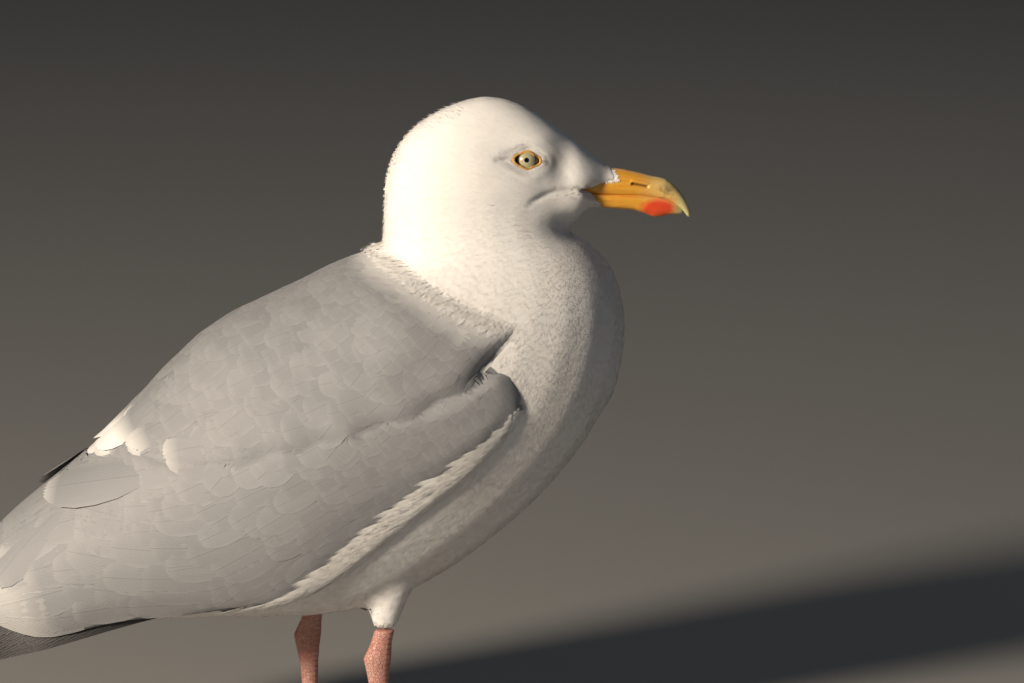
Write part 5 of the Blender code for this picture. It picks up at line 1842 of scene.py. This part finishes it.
tail = joined_blades("tail_feathers", [
    blade(f"tail feather {number}", tail_place(number), TAIL_STEPS, TAIL_THICKNESS)
    for number in range(TAIL_FEATHERS)
])
tail.data.materials.append(flight_feather("white tail feathers", False))
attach(tail, "root")
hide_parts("tail")

# ---------------------------------------------------------------------------
# Legs: bare flesh-pink shanks and webbed feet, cast in one piece each and painted. The skin is scaled
# all over, in broad plates down the front of the shank; the claws are black horn.
# ---------------------------------------------------------------------------
LEG_GRAIN = 0.62
SOLE_DEPTH = 0.0007                 # what is lower than this lies flat on the floor, in metres
FOOT_TOP = (0.009, 0.013)           # where the foot passes into the shank
FLESH_PINK = (0.52, 0.23, 0.18, 1.0)
FLESH_DEEP = (0.27, 0.09, 0.07, 1.0)
FLESH_PALE = (0.60, 0.36, 0.30, 1.0)


def leg_skin():
    """Pink skin, darker between its scales and towards the floor."""
    material, tree, shader = new_material("leg skin")
    place = own_place(tree)
    at = add_node(tree, "ShaderNodeSeparateXYZ", Vector=place)
    mottle = noise(tree, place, 120.0, 4.0)
    scales = add_node(tree, "ShaderNodeTexVoronoi", {"feature": "DISTANCE_TO_EDGE"}, Vector=place,
                      Scale=620.0)
    seam = ramp(tree, scales.outputs["Distance"], (0.0, 1.0), (0.12, 0.0))
    plates = add_node(tree, "ShaderNodeTexWave", {"bands_direction": "Z"}, Vector=place, Scale=118.0,
                      Distortion=1.2, Detail=2.0).outputs["Fac"]
    plate_seam = ramp(tree, plates, (0.0, 1.0), (0.14, 0.0))
    front = named_value(tree, "front")
    lines = calc(tree, "MAXIMUM", calc(tree, "MULTIPLY", plate_seam, front),
                 calc(tree, "MULTIPLY", seam, calc(tree, "SUBTRACT", 1.0, front)))
    colour = mixed(tree, ramp(tree, mottle, (0.35, 0.0), (0.7, 1.0)), FLESH_PINK, FLESH_PALE)
    # darker towards the floor
    low = ramp(tree, calc(tree, "MULTIPLY", at.outputs["Z"], 12.0), (0.02, 1.0), (0.20, 0.0))
    colour = mixed(tree, calc(tree, "MULTIPLY", low, 0.25), colour, FLESH_DEEP)
    colour = mixed(tree, calc(tree, "MULTIPLY", lines, 0.55), colour, FLESH_DEEP)
    relief = calc(tree, "SUBTRACT", calc(tree, "MULTIPLY", mottle, 0.3), lines)
    finish_surface(tree, shader, colour, relief, 0.55, 0.0004,
                   calc(tree, "MULTIPLY_ADD", mottle, 0.25, 0.36),
                   Subsurface_Weight=0.10, Subsurface_Radius=(1.0, 0.35, 0.2), Subsurface_Scale=0.002)
    return material


def claw_horn():
    material, tree, shader = new_material("claw horn")
    place = own_place(tree)
    grain = noise(tree, place, 700.0, 4.0)
    worn = ramp(tree, grain, (0.4, 0.0), (0.75, 1.0))
    colour = mixed(tree, worn, (0.012, 0.010, 0.009, 1.0), (0.075, 0.055, 0.045, 1.0))
    finish_surface(tree, shader, colour, grain, 0.3, 0.0002,
                   calc(tree, "MULTIPLY_ADD", grain, 0.25, 0.25))
    return material


pink = leg_skin()
claw_material = claw_horn()
for side_name, side in SIDES:
    leg = joined_form(f"leg_{side_name}", (f"shank_{side_name}", f"foot_{side_name}"), LEG_GRAIN)
    keep_largest_shell(leg.data)
    relax(leg.data, 3)
    points = read(leg.data, "position")
    normals = read(leg.data, "normal")
    points[:, 2] = np.where(points[:, 2] < SOLE_DEPTH, 0.0, points[:, 2])
    move_to(leg.data, points)
    tall = smooth_step(points[:, 2], *FOOT_TOP)
    ahead = smooth_step(normals[:, 0], 0.1, 0.5)
    keep_values(leg.data, "front", tall * ahead)
    leg.data.materials.append(pink)
    leg.data.shade_smooth()
    unwrap(leg)
    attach(leg, "root")
    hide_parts(f"shank_{side_name}", f"foot_{side_name}")
    for toe in ("inner", "middle", "outer"):
        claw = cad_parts[f"claw_{toe}_{side_name}"]
        for place_slot in claw.material_slots:
            place_slot.material = claw_material

# ---------------------------------------------------------------------------
# Studio: a plain pale floor, a warm soft key from the bird's rear right, a cool fill and the camera.
# ---------------------------------------------------------------------------
CAMERA_TURN = math.radians(-8.0)
CAMERA_RISE = math.radians(11.0)
CAMERA_REACH = 3.2
AIM = Vector((0.13705, 0.0, 0.21775))
LIT_MIDDLE = Vector((0.03, 0.0, 0.2))
SENSOR = 36.0
VIEW_WIDTH = 0.512                  # what the frame is across at the bird


def toward(turn, rise):
    """The heading from the bird to something at this turn, from straight out of its right side, and rise."""
    return Vector((math.sin(turn) * math.cos(rise), -math.cos(turn) * math.cos(rise), math.sin(rise)))


def add_lamp(name, turn, rise, reach, size, power, colour):
    light = bpy.data.lights.new(name, "AREA")
    light.shape = "DISK"
    light.size = size
    light.energy = power
    light.color = colour
    lamp = bpy.data.objects.new(name, light)
    heading = toward(math.radians(turn), math.radians(rise))
    lamp.location = LIT_MIDDLE + heading * reach
    lamp.rotation_mode = "QUATERNION"
    lamp.rotation_quaternion = heading.to_track_quat("Z", "Y")
    bpy.context.scene.collection.objects.link(lamp)


def add_floor():
    work = bmesh.new()
    bmesh.ops.create_grid(work, x_segments=1, y_segments=1, size=6.0)
    floor = new_piece("floor", mesh_of("floor", work))
    material = bpy.data.materials.new("pale floor")
    material.use_nodes = True
    shader = material.node_tree.nodes["Principled BSDF"]
    shader.inputs["Base Color"].default_value = (0.32, 0.315, 0.30, 1.0)
    shader.inputs["Roughness"].default_value = 0.75
    floor.data.materials.append(material)


add_floor()
add_lamp("key", -51.0, 20.0, 2.4, 0.42, 88.0, (1.0, 0.86, 0.70))
add_lamp("fill", 35.0, 25.0, 3.0, 2.2, 3.6, (0.66, 0.80, 1.0))
add_lamp("back", 150.0, 45.0, 2.6, 1.4, 3.0, (1.0, 0.96, 0.9))
world = bpy.data.worlds.new("studio")
world.use_nodes = True
world.node_tree.nodes["Background"].inputs["Color"].default_value = (0.60, 0.75, 1.0, 1.0)
world.node_tree.nodes["Background"].inputs["Strength"].default_value = 0.035
bpy.context.scene.world = world
bpy.context.scene.view_settings.view_transform = "Standard"

lens = bpy.data.cameras.new("camera")
lens.sensor_width = SENSOR
lens.lens = SENSOR * CAMERA_REACH / VIEW_WIDTH
lens.clip_start = 0.1
lens.clip_end = 50.0
camera = bpy.data.objects.new("camera", lens)
bpy.context.scene.collection.objects.link(camera)
heading = toward(CAMERA_TURN, CAMERA_RISE)
camera.location = AIM + heading * CAMERA_REACH
camera.rotation_mode = "QUATERNION"
camera.rotation_quaternion = heading.to_track_quat("Z", "Y")
bpy.context.scene.camera = camera
